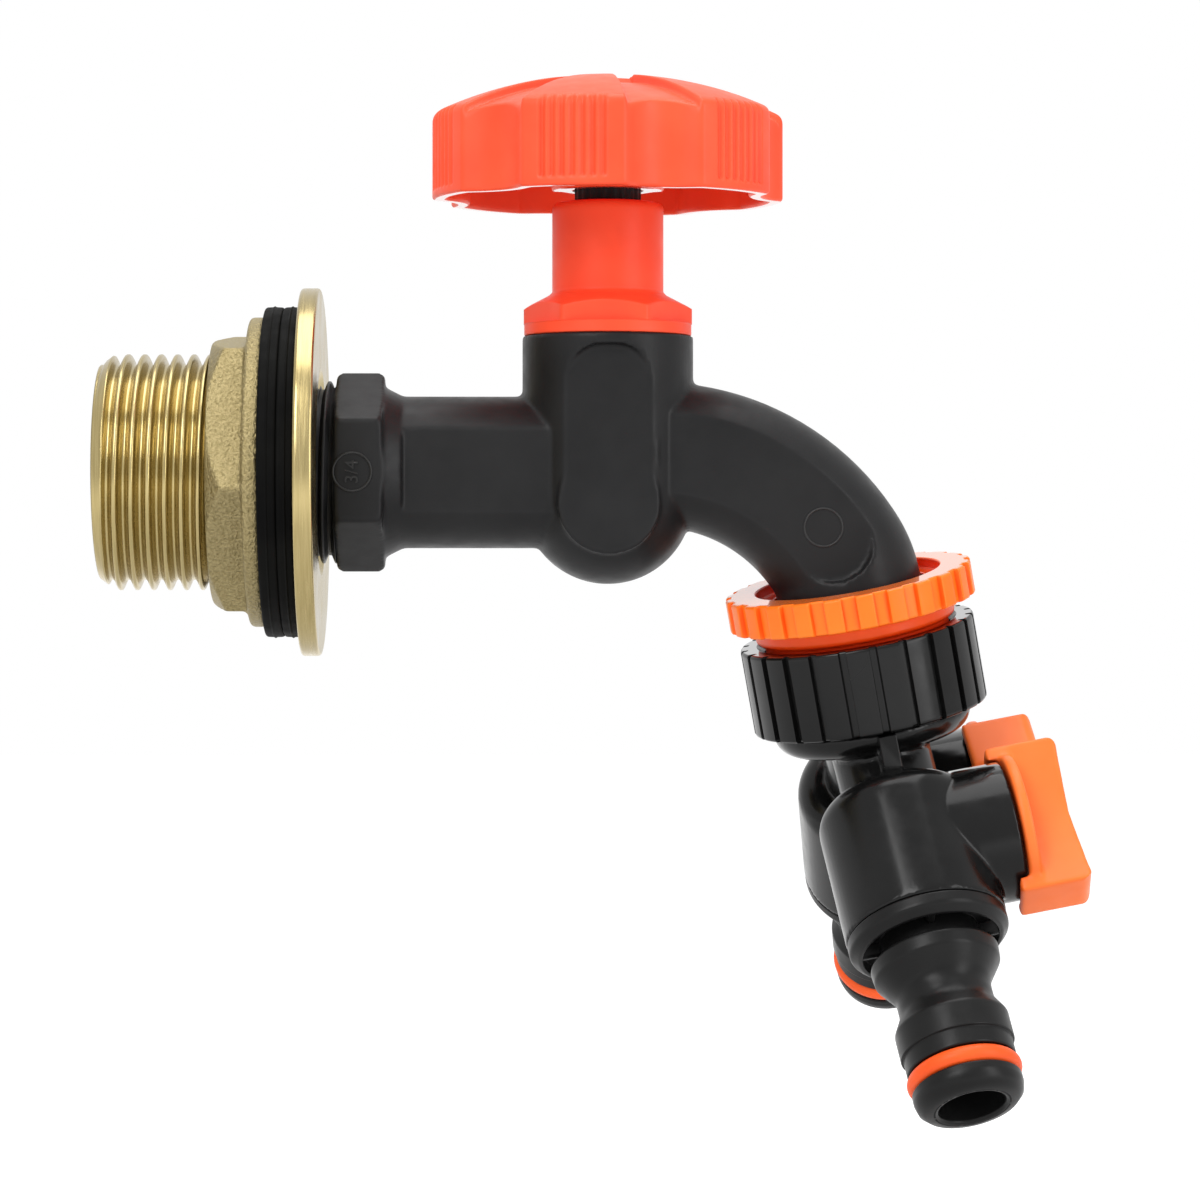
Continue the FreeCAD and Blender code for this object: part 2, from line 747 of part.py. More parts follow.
def make_passages(body):
    """Water way: inlet bore, port, well under the seat, seat, valve bore and spout bore."""
    bore = circle(sketch_on(body, "inlet_bore", YZ, lift=THREAD_START), 0, 0, S.inlet_bore_r)
    pocket(body, "inlet_bore_cut", bore, S.inlet_bore_end - THREAD_START, Reversed=True)
    port_start = S.inlet_bore_end - S.port_r
    port = circle(sketch_on(body, "port", YZ, lift=port_start), 0, -S.port_drop, S.port_r)
    pocket(body, "port_cut", port, S.chamber_x - port_start, Reversed=True)
    axis = (S.chamber_x, 0)
    well_top = -S.seat_floor - S.seat_wall
    well = outline(sketch_on(body, "well", XZ, shift=axis), [
        (0, -S.well_depth),
        (S.well_r, -S.well_depth),
        (S.well_r, well_top),
        (S.seat_hole_r, well_top),
        (S.seat_hole_r, 0),
        (0, 0),
    ])
    turn(body, "well_turning", well, "V_Axis", cut=True)
    groove_z = S.chamber_top - S.seal_groove_depth
    valve = outline(sketch_on(body, "valve", XZ, shift=axis), [
        (0, 0),
        (S.seat_lip_r, 0),
        (S.seat_lip_r, -S.seat_floor),
        (S.valve_bore_r, -S.seat_floor),
        (S.valve_bore_r, groove_z),
        (S.seal_groove_r, groove_z),
        (S.seal_groove_r, S.chamber_top),
        (0, S.chamber_top),
    ])
    turn(body, "valve_turning", valve, "V_Axis", cut=True)
    spout_sweep(body, "spout_bore", "SubtractivePipe", S.spout_bore_r, False)


CHAMBER_FRAME = FreeCAD.Placement(FreeCAD.Vector(S.chamber_x.value, 0, 0), FreeCAD.Rotation())


def make_bonnet():
    plug_r = S.valve_bore_r - S.bonnet_thread_gap
    plug_bottom = S.chamber_top - S.bonnet_depth
    flange_top = S.chamber_top + S.bonnet_flange_thick
    hex_top = flange_top + S.bonnet_hex_thick
    bore_r = S.spindle_r + S.spindle_gap
    nut_r = S.spindle_thread_r + S.spindle_gap
    neck_round = S.bonnet_neck_round
    body = turned("bonnet", [
        (nut_r, plug_bottom),
        (plug_r, plug_bottom),
        (plug_r, S.chamber_top),
        (S.bonnet_flange_r, S.chamber_top),
        (S.bonnet_flange_r, flange_top),
        (S.bonnet_neck_r + S.bonnet_slope, flange_top),
        (S.bonnet_neck_r + S.bonnet_slope, hex_top),
        (S.bonnet_neck_r, hex_top + S.bonnet_slope),
        (S.bonnet_neck_r, S.bonnet_neck_top - neck_round),
        (S.bonnet_neck_r - neck_round, S.bonnet_neck_top, neck_round, "left"),
        (bore_r, S.bonnet_neck_top),
        (bore_r, S.bonnet_nut_top),
        (nut_r, S.bonnet_nut_top),
    ], "V_Axis", CHAMBER_FRAME)
    hexagon = polygon(sketch_on(body, "hexagon", XY, lift=flange_top), 6, S.bonnet_corner_r, -S.bonnet_hex_turn)
    circle(hexagon, 0, 0, S.bonnet_neck_r)
    pad(body, "hexagon_pad", hexagon, S.bonnet_hex_thick)
    bevel = outline(sketch_on(body, "bevel", XZ), [
        (S.bonnet_neck_r + S.bonnet_slope, hex_top),
        (S.bonnet_corner_r, hex_top),
        (S.bonnet_corner_r, hex_top - S.bonnet_hex_bevel),
    ])
    turn(body, "bevel_turning", bevel, "V_Axis", cut=True)
    ring("bonnet_seal", plug_r + S.bonnet_seal_gap, S.seal_groove_r - S.bonnet_seal_gap,
         S.chamber_top - S.seal_groove_depth, S.chamber_top, "V_Axis", CHAMBER_FRAME)


def make_valve():
    """Jumper with its washer and screw, and the spindle that lifts it."""
    washer_bottom = S.seat_gap
    washer_top = washer_bottom + S.valve_washer_thick
    disc_top = washer_top + S.jumper_thick
    hole_r = S.washer_screw_r + S.washer_screw_gap
    screw_top = washer_bottom + S.washer_screw_length
    ring("valve_washer", hole_r, S.valve_washer_r, washer_bottom, washer_top, "V_Axis", CHAMBER_FRAME)
    turned("jumper", [
        (hole_r, washer_top),
        (S.jumper_r, washer_top),
        (S.jumper_r, disc_top),
        (S.jumper_stem_r, disc_top),
        (S.jumper_stem_r, disc_top + S.jumper_stem),
        (0, disc_top + S.jumper_stem),
        (0, screw_top + S.washer_screw_gap),
        (hole_r, screw_top + S.washer_screw_gap),
    ], "V_Axis", CHAMBER_FRAME)
    turned("washer_screw", [
        (0, washer_bottom - S.washer_screw_head),
        (S.washer_screw_head_r, washer_bottom - S.washer_screw_head),
        (S.washer_screw_head_r, washer_bottom),
        (S.washer_screw_r, washer_bottom),
        (S.washer_screw_r, screw_top),
        (0, screw_top),
    ], "V_Axis", CHAMBER_FRAME)
    socket_r = S.jumper_stem_r + S.jumper_stem_gap
    socket_top = disc_top + S.jumper_stem + S.jumper_stem_gap
    bottom = disc_top + S.jumper_stem_gap
    screw_r = S.handle_screw_r + S.handle_screw_gap
    screw_bottom = S.spindle_top - S.spindle_screw_depth
    section_r = S.spindle_oring_section_r
    groove_r = S.spindle_r - 2 * section_r
    turned("spindle", [
        (socket_r, bottom),
        (S.spindle_thread_r, bottom),
        (S.spindle_thread_r, S.spindle_shoulder),
        (S.spindle_r, S.spindle_shoulder),
        (S.spindle_r, S.spindle_oring_z - section_r - S.spindle_gap),
        (groove_r - S.spindle_gap, S.spindle_oring_z - section_r - S.spindle_gap),
        (groove_r - S.spindle_gap, S.spindle_oring_z + section_r + S.spindle_gap),
        (S.spindle_r, S.spindle_oring_z + section_r + S.spindle_gap),
        (S.spindle_r, S.spindle_top),
        (screw_r, S.spindle_top),
        (screw_r, screw_bottom),
        (0, screw_bottom),
        (0, socket_top),
        (socket_r, socket_top),
    ], "V_Axis", CHAMBER_FRAME)
    o_ring("spindle_oring", groove_r + section_r, section_r, S.spindle_oring_z, CHAMBER_FRAME)


def lobe_outline(sketch, rim_r, bite_r, bite_distance, lobes):
    """Round outline with a round bite taken out between each two lobes."""
    bite_cosine = (rim_r * rim_r + bite_distance * bite_distance - bite_r * bite_r) / (2 * rim_r * bite_distance)
    bite_sine = root(1 - bite_cosine * bite_cosine)
    corners = []
    for i in range(lobes):
        angle = as_dim(FULL_TURN * i / lobes)
        along, across = cosine(angle), sine(angle)
        first = (rim_r * (bite_cosine * along + bite_sine * across),
                 rim_r * (bite_cosine * across - bite_sine * along))
        last = (rim_r * (bite_cosine * along - bite_sine * across),
                rim_r * (bite_cosine * across + bite_sine * along))
        corners.append((*first, rim_r, "left"))
        corners.append((*last, bite_r, "right"))
    return outline(sketch, corners)


def make_handwheel():
    """Lobed handwheel with grip grooves, hollow underneath round a hub that takes the spindle."""
    turn_back = FreeCAD.Rotation(FreeCAD.Vector(0, 0, 1), -S.wheel_turn.value)
    place = FreeCAD.Placement(CHAMBER_FRAME.Base, turn_back)
    crown_rise = S.wheel_top - S.wheel_rim_top
    crown_r = (S.wheel_r * S.wheel_r + crown_rise * crown_rise) / (2 * crown_rise)
    body = turned("handwheel", [
        (0, S.wheel_hub_bottom),
        (S.wheel_hub_r + S.wheel_wall, S.wheel_hub_bottom),
        (S.wheel_hub_r + S.wheel_wall, S.wheel_bottom),
        (S.wheel_r, S.wheel_bottom),
        (S.wheel_r, S.wheel_rim_top),
        (0, S.wheel_top, crown_r, "left"),
    ], "V_Axis", place)
    lobes = int(S.wheel_lobes.value)
    flute_distance = S.wheel_r - S.flute_depth + S.flute_r
    mid = as_dim(FULL_TURN) / (2 * S.wheel_lobes)
    height = S.wheel_top - S.wheel_bottom
    flute = circle(sketch_on(body, "flute", XY, lift=S.wheel_bottom), flute_distance, 0, S.flute_r)
    cut = pocket(body, "flute_cut", flute, height, Reversed=True)
    polar(body, "flutes", cut, (flute, ["N_Axis"]), S.wheel_lobes)
    valley_base = S.wheel_top - S.crown_valley - crown_r
    valley = outline(sketch_on(body, "valley", XZ), [
        (S.crown_cap_r, S.wheel_top),
        (S.crown_cap_r, valley_base + edge_height(crown_r, S.crown_cap_r)),
        (S.wheel_r, S.wheel_rim_top - S.crown_valley, crown_r, "right"),
        (S.wheel_r, S.wheel_top),
    ])
    cut = add_feature(body, "Groove", "valley_turning", valley, False, ReferenceAxis=(valley, ["V_Axis"]),
                      Midplane=True, sizes={"Angle": 2 * mid - S.lobe_width})
    polar(body, "valleys", cut, (flute, ["N_Axis"]), S.wheel_lobes)
    grooves = sketch_on(body, "grooves", XY, lift=S.wheel_bottom)
    groove_distance = S.wheel_r - S.grip_groove_depth + S.grip_groove_r
    count = int(S.grip_grooves.value)
    for i in range(count):
        angle = mid + S.grip_groove_pitch * (i - (count - 1) / 2)
        circle(grooves, groove_distance * cosine(angle), groove_distance * sine(angle), S.grip_groove_r)
    cut = pocket(body, "groove_cut", grooves, height, Reversed=True)
    polar(body, "grips", cut, (grooves, ["N_Axis"]), S.wheel_lobes)
    cavity = sketch_on(body, "cavity", XY, lift=S.wheel_bottom)
    lobe_outline(cavity, S.wheel_r - S.wheel_wall, S.flute_r + S.wheel_wall, flute_distance, lobes)
    circle(cavity, 0, 0, S.wheel_hub_r)
    pocket(body, "cavity_cut", cavity, S.wheel_cavity_top - S.wheel_bottom, Reversed=True)
    socket = circle(sketch_on(body, "socket", XY, lift=S.wheel_hub_bottom), 0, 0, S.spindle_r + S.spindle_gap)
    pocket(body, "socket_cut", socket, S.spindle_top + S.spindle_gap - S.wheel_hub_bottom, Reversed=True)
    recess_floor = S.wheel_top - S.screw_recess_depth
    screw_r = S.handle_screw_r + S.handle_screw_gap
    recess = outline(sketch_on(body, "recess", XZ), [
        (0, S.spindle_top),
        (screw_r, S.spindle_top),
        (screw_r, recess_floor),
        (S.screw_recess_r, recess_floor),
        (S.screw_recess_r, S.wheel_top),
        (0, S.wheel_top),
    ])
    turn(body, "recess_turning", recess, "V_Axis", cut=True)
    turned("handle_screw", [
        (0, recess_floor - S.handle_screw_length),
        (S.handle_screw_r, recess_floor - S.handle_screw_length),
        (S.handle_screw_r, recess_floor),
        (S.handle_screw_head_r, recess_floor),
        (S.handle_screw_head_r, recess_floor + S.handle_screw_head),
        (0, recess_floor + S.handle_screw_head),
    ], "V_Axis", CHAMBER_FRAME)


def group_frame():
    """Frame of the outlet fittings: on the outlet, leaning and turned a little in its loose thread."""
    outlet_x, outlet_z = spout_points()[2]
    tilt = FreeCAD.Rotation(FreeCAD.Vector(0, 1, 0), -S.outlet_tilt.value)
    lean = FreeCAD.Rotation(FreeCAD.Vector(1, 0, 0), S.group_lean.value)
    swivel = FreeCAD.Rotation(FreeCAD.Vector(0, 0, 1), S.group_swivel.value)
    outlet = FreeCAD.Vector(outlet_x.value, 0, outlet_z.value)
    pivot = outlet + tilt.multVec(FreeCAD.Vector(0, 0, -S.group_pivot.value))
    return FreeCAD.Placement(pivot, lean * tilt * swivel)


GROUP_FRAME = group_frame()


def down(depth):
    """Height in the outlet group's frame of a depth below the reducer's top face."""
    return S.group_pivot + S.reducer_lap - depth


def make_reducer():
    bottom = down(S.reducer_length)
    body = turned("reducer_ring", [
        (S.reducer_bore_r, bottom),
        (S.reducer_thread_r, bottom),
        (S.reducer_thread_r, down(S.reducer_flange + S.reducer_ridge)),
        (S.reducer_ridge_r, down(S.reducer_flange + S.reducer_ridge)),
        (S.reducer_ridge_r, down(S.reducer_flange)),
        (S.reducer_r, down(S.reducer_flange)),
        (S.reducer_r, down(0)),
        (S.reducer_counterbore_r, down(0)),
        (S.reducer_counterbore_r, down(S.reducer_counterbore)),
        (S.reducer_socket_r, down(S.reducer_counterbore)),
        (S.reducer_socket_r, down(S.reducer_socket_depth)),
        (S.reducer_bore_r, down(S.reducer_socket_depth)),
    ], "V_Axis", GROUP_FRAME)
    half = S.reducer_tooth_width / 2
    tooth = outline(sketch_on(body, "tooth", XY, lift=down(S.reducer_flange)), [
        (S.reducer_ridge_r, -half),
        (S.reducer_tooth_r, -half),
        (S.reducer_tooth_r, half),
        (S.reducer_ridge_r, half),
    ])
    polar(body, "teeth", pad(body, "tooth_pad", tooth, S.reducer_flange), (tooth, ["N_Axis"]), S.reducer_teeth)
    ring("reducer_seal", S.reducer_bore_r, S.reducer_socket_r - S.reducer_seal_gap,
         down(S.reducer_socket_depth), down(S.reducer_socket_depth - S.reducer_seal_thick), "V_Axis", GROUP_FRAME)


def make_swivel_nut():
    thread_r = S.reducer_thread_r + S.swivel_nut_gap
    nut_r = thread_r + S.swivel_nut_wall
    lip_top = down(S.swivel_nut_bottom - S.swivel_nut_lip)
    bottom = down(S.swivel_nut_bottom)
    body = turned("swivel_nut", [
        (S.swivel_nut_lip_r, bottom),
        (nut_r, bottom),
        (nut_r, down(S.swivel_nut_top)),
        (thread_r, down(S.swivel_nut_top)),
        (thread_r, lip_top),
        (S.swivel_nut_lip_r, lip_top),
    ], "V_Axis", GROUP_FRAME)
    half = S.swivel_nut_slot / 2
    slot = outline(sketch_on(body, "slot", XY, lift=bottom), [
        (nut_r - S.swivel_nut_slot_depth, -half),
        (nut_r + half, -half),
        (nut_r + half, half),
        (nut_r - S.swivel_nut_slot_depth, half),
    ])
    cut = pocket(body, "slot_cut", slot, S.swivel_nut_bottom - S.swivel_nut_top, Reversed=True)
    polar(body, "slots", cut, (slot, ["N_Axis"]), S.swivel_nut_ribs)
    seal_top = down(S.reducer_length)
    ring("nut_seal", S.nut_seal_hole_r, S.nut_seal_r, seal_top - S.nut_seal_thick, seal_top, "V_Axis", GROUP_FRAME)


def leg_point(side, along, out):
    """Point in the distributor's YZ plane: along a leg from its root, and out from the leg's axis."""
    y = along * sine(S.leg_splay) + out * cosine(S.leg_splay)
    z = down(S.leg_root) - along * cosine(S.leg_splay) + out * sine(S.leg_splay)
    return side * y, z


def make_distributor():
    flange_top = down(S.reducer_length + S.nut_seal_thick)
    cup_low = down(S.cup_bottom)
    neck_r = S.tail_neck_r
    body = make_body("distributor_body", GROUP_FRAME)
    cup = outline(sketch_on(body, "cup", XZ), [
        (0, cup_low),
        (S.cup_r - S.cup_round, cup_low),
        (S.cup_r, cup_low + S.cup_round, S.cup_round, "left"),
        (S.cup_r, down(S.cup_top)),
        (neck_r, down(S.cup_top)),
        (neck_r, flange_top - S.tail_flange),
        (S.tail_flange_r, flange_top - S.tail_flange),
        (S.tail_flange_r, flange_top),
        (0, flange_top),
    ])
    turn(body, "cup_turning", cup, "V_Axis")
    root_at = (0, down(S.leg_root))
    barrel_top = S.barrel_above - S.ball_distance
    seam = -S.ball_distance - S.barrel_below
    for label, side in SIDES.items():
        lean = (S.leg_splay, side)
        leg = outline(sketch_on(body, f"leg_{label}", YZ, turn=lean, shift=root_at), [
            (0, 0),
            (0, seam),
            (S.barrel_r, seam),
            (S.barrel_r, barrel_top - S.barrel_round),
            (S.barrel_r - S.barrel_round, barrel_top, S.barrel_round, "left"),
            (S.leg_neck_r, barrel_top),
            (S.leg_neck_r, 0),
        ])
        turn(body, f"leg_turning_{label}", leg, "V_Axis")
        boss = circle(sketch_on(body, f"boss_{label}", YZ, turn=lean, shift=root_at), 0, -S.ball_distance, S.boss_r)
        pad(body, f"boss_pad_{label}", boss, S.boss_end)
        rib = outline(sketch_on(body, f"rib_{label}", YZ), [
            (side * S.rib_cup_r, down(S.rib_cup_depth)),
            leg_point(side, S.rib_barrel_along, S.rib_barrel_out),
            leg_point(side, S.rib_barrel_along, as_dim(0)),
            leg_point(side, S.leg_neck_r, as_dim(0)),
        ])
        pad(body, f"rib_pad_{label}", rib, S.rib_thick, Midplane=True)
    bore = outline(sketch_on(body, "cup_bore", XZ), [
        (0, down(S.leg_root)),
        (S.cup_bore_r, down(S.leg_root)),
        (S.cup_bore_r, down(0)),
        (0, down(0)),
    ])
    turn(body, "cup_bore_turning", bore, "V_Axis", cut=True)
    cavity_top = S.cavity_top - S.ball_distance
    for label, side in SIDES.items():
        lean = (S.leg_splay, side)
        way = outline(sketch_on(body, f"way_{label}", YZ, turn=lean, shift=root_at), [
            (0, 0),
            (0, seam),
            (S.cavity_r, seam),
            (S.cavity_r, cavity_top),
            (S.leg_bore_r, cavity_top),
            (S.leg_bore_r, 0),
        ])
        turn(body, f"way_turning_{label}", way, "V_Axis", cut=True)
        sketch = sketch_on(body, f"stem_bore_{label}", YZ, lift=S.stem_root, turn=lean, shift=root_at)
        circle(sketch, 0, -S.ball_distance, S.stem_r + S.stem_gap)
        pocket(body, f"stem_bore_cut_{label}", sketch, S.boss_end - S.stem_root, Reversed=True)


def leg_frame(side):
    """Frame of one leg: its origin at the ball's centre and its Z axis up the leg."""
    splay = math.radians(S.leg_splay.value)
    reach = S.ball_distance.value
    centre = FreeCAD.Vector(0, side * reach * math.sin(splay), down(S.leg_root).value - reach * math.cos(splay))
    spin = FreeCAD.Rotation(FreeCAD.Vector(1, 0, 0), side * S.leg_splay.value)
    return GROUP_FRAME * FreeCAD.Placement(centre, spin)


def make_ball_valve(label, frame):
    ball = make_body(f"ball_{label}", frame)
    hole_z = edge_height(S.ball_r, S.ball_hole_r)
    section = outline(sketch_on(ball, "section", XZ), [
        (S.ball_hole_r, -hole_z),
        (S.ball_hole_r, hole_z, S.ball_r, "left"),
    ])
    turn(ball, "turning", section, "V_Axis")
    slot_half = S.tang_thick / 2 + S.tang_gap
    slot = outline(sketch_on(ball, "slot", XY), [
        (S.tang_root - S.tang_gap, -slot_half),
        (S.ball_r, -slot_half),
        (S.ball_r, slot_half),
        (S.tang_root - S.tang_gap, slot_half),
    ])
    pocket(ball, "slot_cut", slot, 2 * S.ball_r, Midplane=True)

    seat_r = S.ball_r + S.ball_gap
    outer_r = S.cavity_r - S.cavity_gap
    hole_r = S.ball_seat_hole_r
    seat_inner = S.stem_r + S.ball_seat_stem_gap
    for name, way in (("upper", 1), ("lower", -1)):
        turned(f"{name}_ball_seat_{label}", [
            (hole_r, way * S.ball_seat_outer),
            (outer_r, way * S.ball_seat_outer),
            (outer_r, way * seat_inner),
            (edge_height(seat_r, seat_inner), way * seat_inner),
            (hole_r, way * edge_height(seat_r, hole_r), seat_r, "left" if way > 0 else "right"),
        ], "V_Axis", frame)

    section_r = S.stem_oring_section_r
    groove_r = S.stem_r - 2 * section_r
    groove_half = section_r + S.stem_gap
    square_start = S.boss_end + S.lever_gap
    stem = turned(f"stem_{label}", [
        (S.stem_root, 0),
        (S.stem_root, S.stem_r),
        (S.stem_oring_x - groove_half, S.stem_r),
        (S.stem_oring_x - groove_half, groove_r - S.stem_gap),
        (S.stem_oring_x + groove_half, groove_r - S.stem_gap),
        (S.stem_oring_x + groove_half, S.stem_r),
        (square_start, S.stem_r),
        (square_start, 0),
    ], "H_Axis", frame)
    tang_half = S.tang_thick / 2
    tang_height = edge_height(S.stem_r, tang_half)
    tang = outline(sketch_on(stem, "tang", YZ, lift=S.tang_root), [
        (-tang_half, -tang_height),
        (tang_half, -tang_height),
        (tang_half, tang_height),
        (-tang_half, tang_height),
    ])
    pad(stem, "tang_pad", tang, S.stem_root - S.tang_root)
    half = S.stem_square / 2
    square = outline(sketch_on(stem, "square", YZ, lift=square_start), [
        (-half, -half), (half, -half), (half, half), (-half, half)])
    pad(stem, "square_pad", square, S.stem_end - square_start)

    o_ring_body = make_body(f"stem_oring_{label}", frame)
    ring_section = circle(sketch_on(o_ring_body, "section", XZ), S.stem_oring_x, groove_r + section_r, section_r)
    turn(o_ring_body, "section_sweep", ring_section, "H_Axis")


def make_lever(label, frame):
    """Cap disc with an hourglass wing along the leg, its ends hooked back over the boss."""
    lever = make_body(f"lever_{label}", frame)
    disc_low = S.boss_end + S.lever_gap
    disc = circle(sketch_on(lever, "disc", YZ, lift=disc_low), 0, 0, S.lever_disc_r)
    pad(lever, "disc_pad", disc, S.lever_disc_top - disc_low)
    half, end_half = S.lever_half, S.lever_end_half
    pinch = end_half - S.lever_waist_half
    side_r = (half * half + pinch * pinch) / (2 * pinch)
    wing = outline(sketch_on(lever, "wing", YZ, lift=disc_low), [
        (-end_half, half),
        (-end_half, -half, side_r, "right"),
        (end_half, -half),
        (end_half, half, side_r, "right"),
    ])
    pad(lever, "wing_pad", wing, S.lever_height - disc_low)
    dip = outline(sketch_on(lever, "dip", XZ), [
        (S.lever_height, half),
        (S.lever_height - S.lever_dip, 0),
        (S.lever_height, -half),
    ])
    pocket(lever, "dip_cut", dip, 2 * end_half, Midplane=True)
    inner_r = S.boss_r + S.lever_boss_gap
    inner_z = edge_height(inner_r, end_half)
    for name, way in (("upper", 1), ("lower", -1)):
        skirt = outline(sketch_on(lever, f"skirt_{name}", YZ, lift=S.lever_skirt), [
            (-end_half, way * half),
            (end_half, way * half),
            (end_half, way * inner_z),
            (-end_half, way * inner_z, inner_r, "left" if way > 0 else "right"),
        ])
        pad(lever, f"skirt_pad_{name}", skirt, S.lever_disc_top - S.lever_skirt)
    socket_half = S.stem_square / 2 + S.stem_square_gap
    socket = outline(sketch_on(lever, "socket", YZ, lift=disc_low), [
        (-socket_half, -socket_half),
        (socket_half, -socket_half),
        (socket_half, socket_half),
        (-socket_half, socket_half),
    ])
    pocket(lever, "socket_cut", socket, S.stem_end + S.stem_square_gap - disc_low, Reversed=True)


def make_nipple(label, frame):
    """Quick connect nipple: plug in the barrel, ring under it, cup, waist, collar and grooved head."""
    def below(length):
        return -S.barrel_below - length

    head_round = S.nipple_head_round
    plug_r = S.cavity_r - S.cavity_gap
    nipple = turned(f"nipple_{label}", [
        (S.nipple_bore_r, S.plug_length - S.barrel_below),
        (S.nipple_bore_r, below(S.nipple_length)),
        (S.nipple_head_r - head_round, below(S.nipple_length)),
        (S.nipple_head_r, below(S.nipple_length - head_round), head_round, "left"),
        (S.nipple_head_r, below(S.nipple_groove_low)),
        (S.nipple_groove_r, below(S.nipple_groove_low)),
        (S.nipple_groove_r, below(S.nipple_groove_top)),
        (S.nipple_land_r, below(S.nipple_groove_top)),
        (S.nipple_land_r, below(S.nipple_collar_low)),
        (S.nipple_collar_r, below(S.nipple_collar_low)),
        (S.nipple_collar_r, below(S.nipple_collar_top)),
        (S.nipple_waist_r, below(S.nipple_waist)),
        (S.nipple_waist_r, below(S.nipple_waist - S.nipple_cup_low / 2)),
        (S.nipple_cup_r, below(S.nipple_cup_low)),
        (S.nipple_cup_r, below(S.nipple_cup_top)),
        (S.nipple_stem_r, below(S.nipple_cup_top)),
        (S.nipple_stem_r, below(S.nipple_plate)),
        (S.nipple_ring_r - S.nipple_ring_wall, below(S.nipple_plate)),
        (S.nipple_ring_r - S.nipple_ring_wall, below(S.nipple_ring)),
        (S.nipple_ring_r - S.nipple_ring_bevel, below(S.nipple_ring)),
        (S.nipple_ring_r, below(S.nipple_ring - S.nipple_ring_bevel)),
        (S.nipple_ring_r, below(0)),
        (plug_r, below(0)),
        (plug_r, S.plug_length - S.barrel_below),
    ], "V_Axis", frame)
    half = S.nipple_web / 2
    reach = S.nipple_ring_r - S.nipple_ring_wall / 2
    inner = (S.nipple_bore_r + S.nipple_stem_r) / 2
    web = outline(sketch_on(nipple, "web", XY, lift=below(S.nipple_ring)), [
        (inner, -half), (reach, -half), (reach, half), (inner, half)])
    web_pad = pad(nipple, "web_pad", web, S.nipple_ring - S.nipple_plate)
    polar(nipple, "webs", web_pad, (web, ["N_Axis"]), S.nipple_webs)
    groove_mid = below((S.nipple_groove_top + S.nipple_groove_low) / 2)
    section_r = S.nipple_oring_section_r
    o_ring(f"nipple_oring_{label}", S.nipple_groove_r + S.ball_gap / 2 + section_r, section_r, groove_mid, frame)


make_tank_connector()
make_backnut()
make_tap_body()
make_bonnet()
make_valve()
make_handwheel()
make_reducer()
make_swivel_nut()
make_distributor()
for label, side in SIDES.items():
    frame = leg_frame(side)
    make_ball_valve(label, frame)
    make_lever(label, frame)
    make_nipple(label, frame)

doc.recompute()
for item in doc.Objects:
    if "Invalid" in item.State or "Error" in item.State:
        raise RuntimeError(f"{item.Name} failed: {item.State}")
os.makedirs("parts", exist_ok=True)
for piece in pieces:
    if piece.Shape.isNull() or not piece.Shape.isValid() or len(piece.Shape.Solids) != 1:
        raise RuntimeError(f"{piece.Label} is not one valid solid")
    piece.Shape.exportStep(f"parts/{piece.Label}.step")
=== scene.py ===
import json
import math
import bmesh
import bpy
import numpy as np
from mathutils import Matrix, Vector


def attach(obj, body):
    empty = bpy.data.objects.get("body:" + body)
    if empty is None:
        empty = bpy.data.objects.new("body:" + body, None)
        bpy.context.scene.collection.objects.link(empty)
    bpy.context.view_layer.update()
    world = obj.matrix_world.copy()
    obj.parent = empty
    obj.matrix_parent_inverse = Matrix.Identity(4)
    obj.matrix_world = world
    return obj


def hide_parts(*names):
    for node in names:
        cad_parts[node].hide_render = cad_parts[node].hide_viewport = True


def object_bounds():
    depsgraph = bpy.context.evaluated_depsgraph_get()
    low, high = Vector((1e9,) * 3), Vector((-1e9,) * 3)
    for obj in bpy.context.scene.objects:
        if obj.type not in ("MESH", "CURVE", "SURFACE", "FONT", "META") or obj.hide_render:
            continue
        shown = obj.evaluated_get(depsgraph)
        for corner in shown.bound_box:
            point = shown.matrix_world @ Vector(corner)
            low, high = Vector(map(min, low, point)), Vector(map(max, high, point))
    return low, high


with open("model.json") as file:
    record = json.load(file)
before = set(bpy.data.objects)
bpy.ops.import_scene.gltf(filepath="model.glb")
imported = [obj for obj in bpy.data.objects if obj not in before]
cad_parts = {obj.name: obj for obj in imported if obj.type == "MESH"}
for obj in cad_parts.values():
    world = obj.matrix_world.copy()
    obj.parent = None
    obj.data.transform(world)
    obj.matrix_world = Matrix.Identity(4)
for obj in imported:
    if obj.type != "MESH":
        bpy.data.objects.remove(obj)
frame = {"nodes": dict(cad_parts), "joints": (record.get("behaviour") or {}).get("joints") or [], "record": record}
cad_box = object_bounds()

# Water butt tap. Lengths here are millimetres, and the frame, which the meshes end up in, is in metres.
MM = 0.001
TURN = 2 * math.pi
SIDES = ("front", "rear")
nodes = frame["nodes"]
joints = {joint["name"]: joint for joint in frame["joints"]}
mounts = {mount["name"]: mount for mount in frame["record"]["mounts"]}


# Frames of the pieces, in metres

def frame_of(x_axis, z_axis, origin):
    """Matrix with these axes at this origin."""
    x_axis, z_axis = Vector(x_axis).normalized(), Vector(z_axis).normalized()
    y_axis = z_axis.cross(x_axis)
    matrix = Matrix((x_axis, y_axis, z_axis)).transposed().to_4x4()
    matrix.translation = Vector(origin)
    return matrix


def scaled(matrix):
    """The frame with its lengths in millimetres."""
    return matrix @ Matrix.Scale(MM, 4)


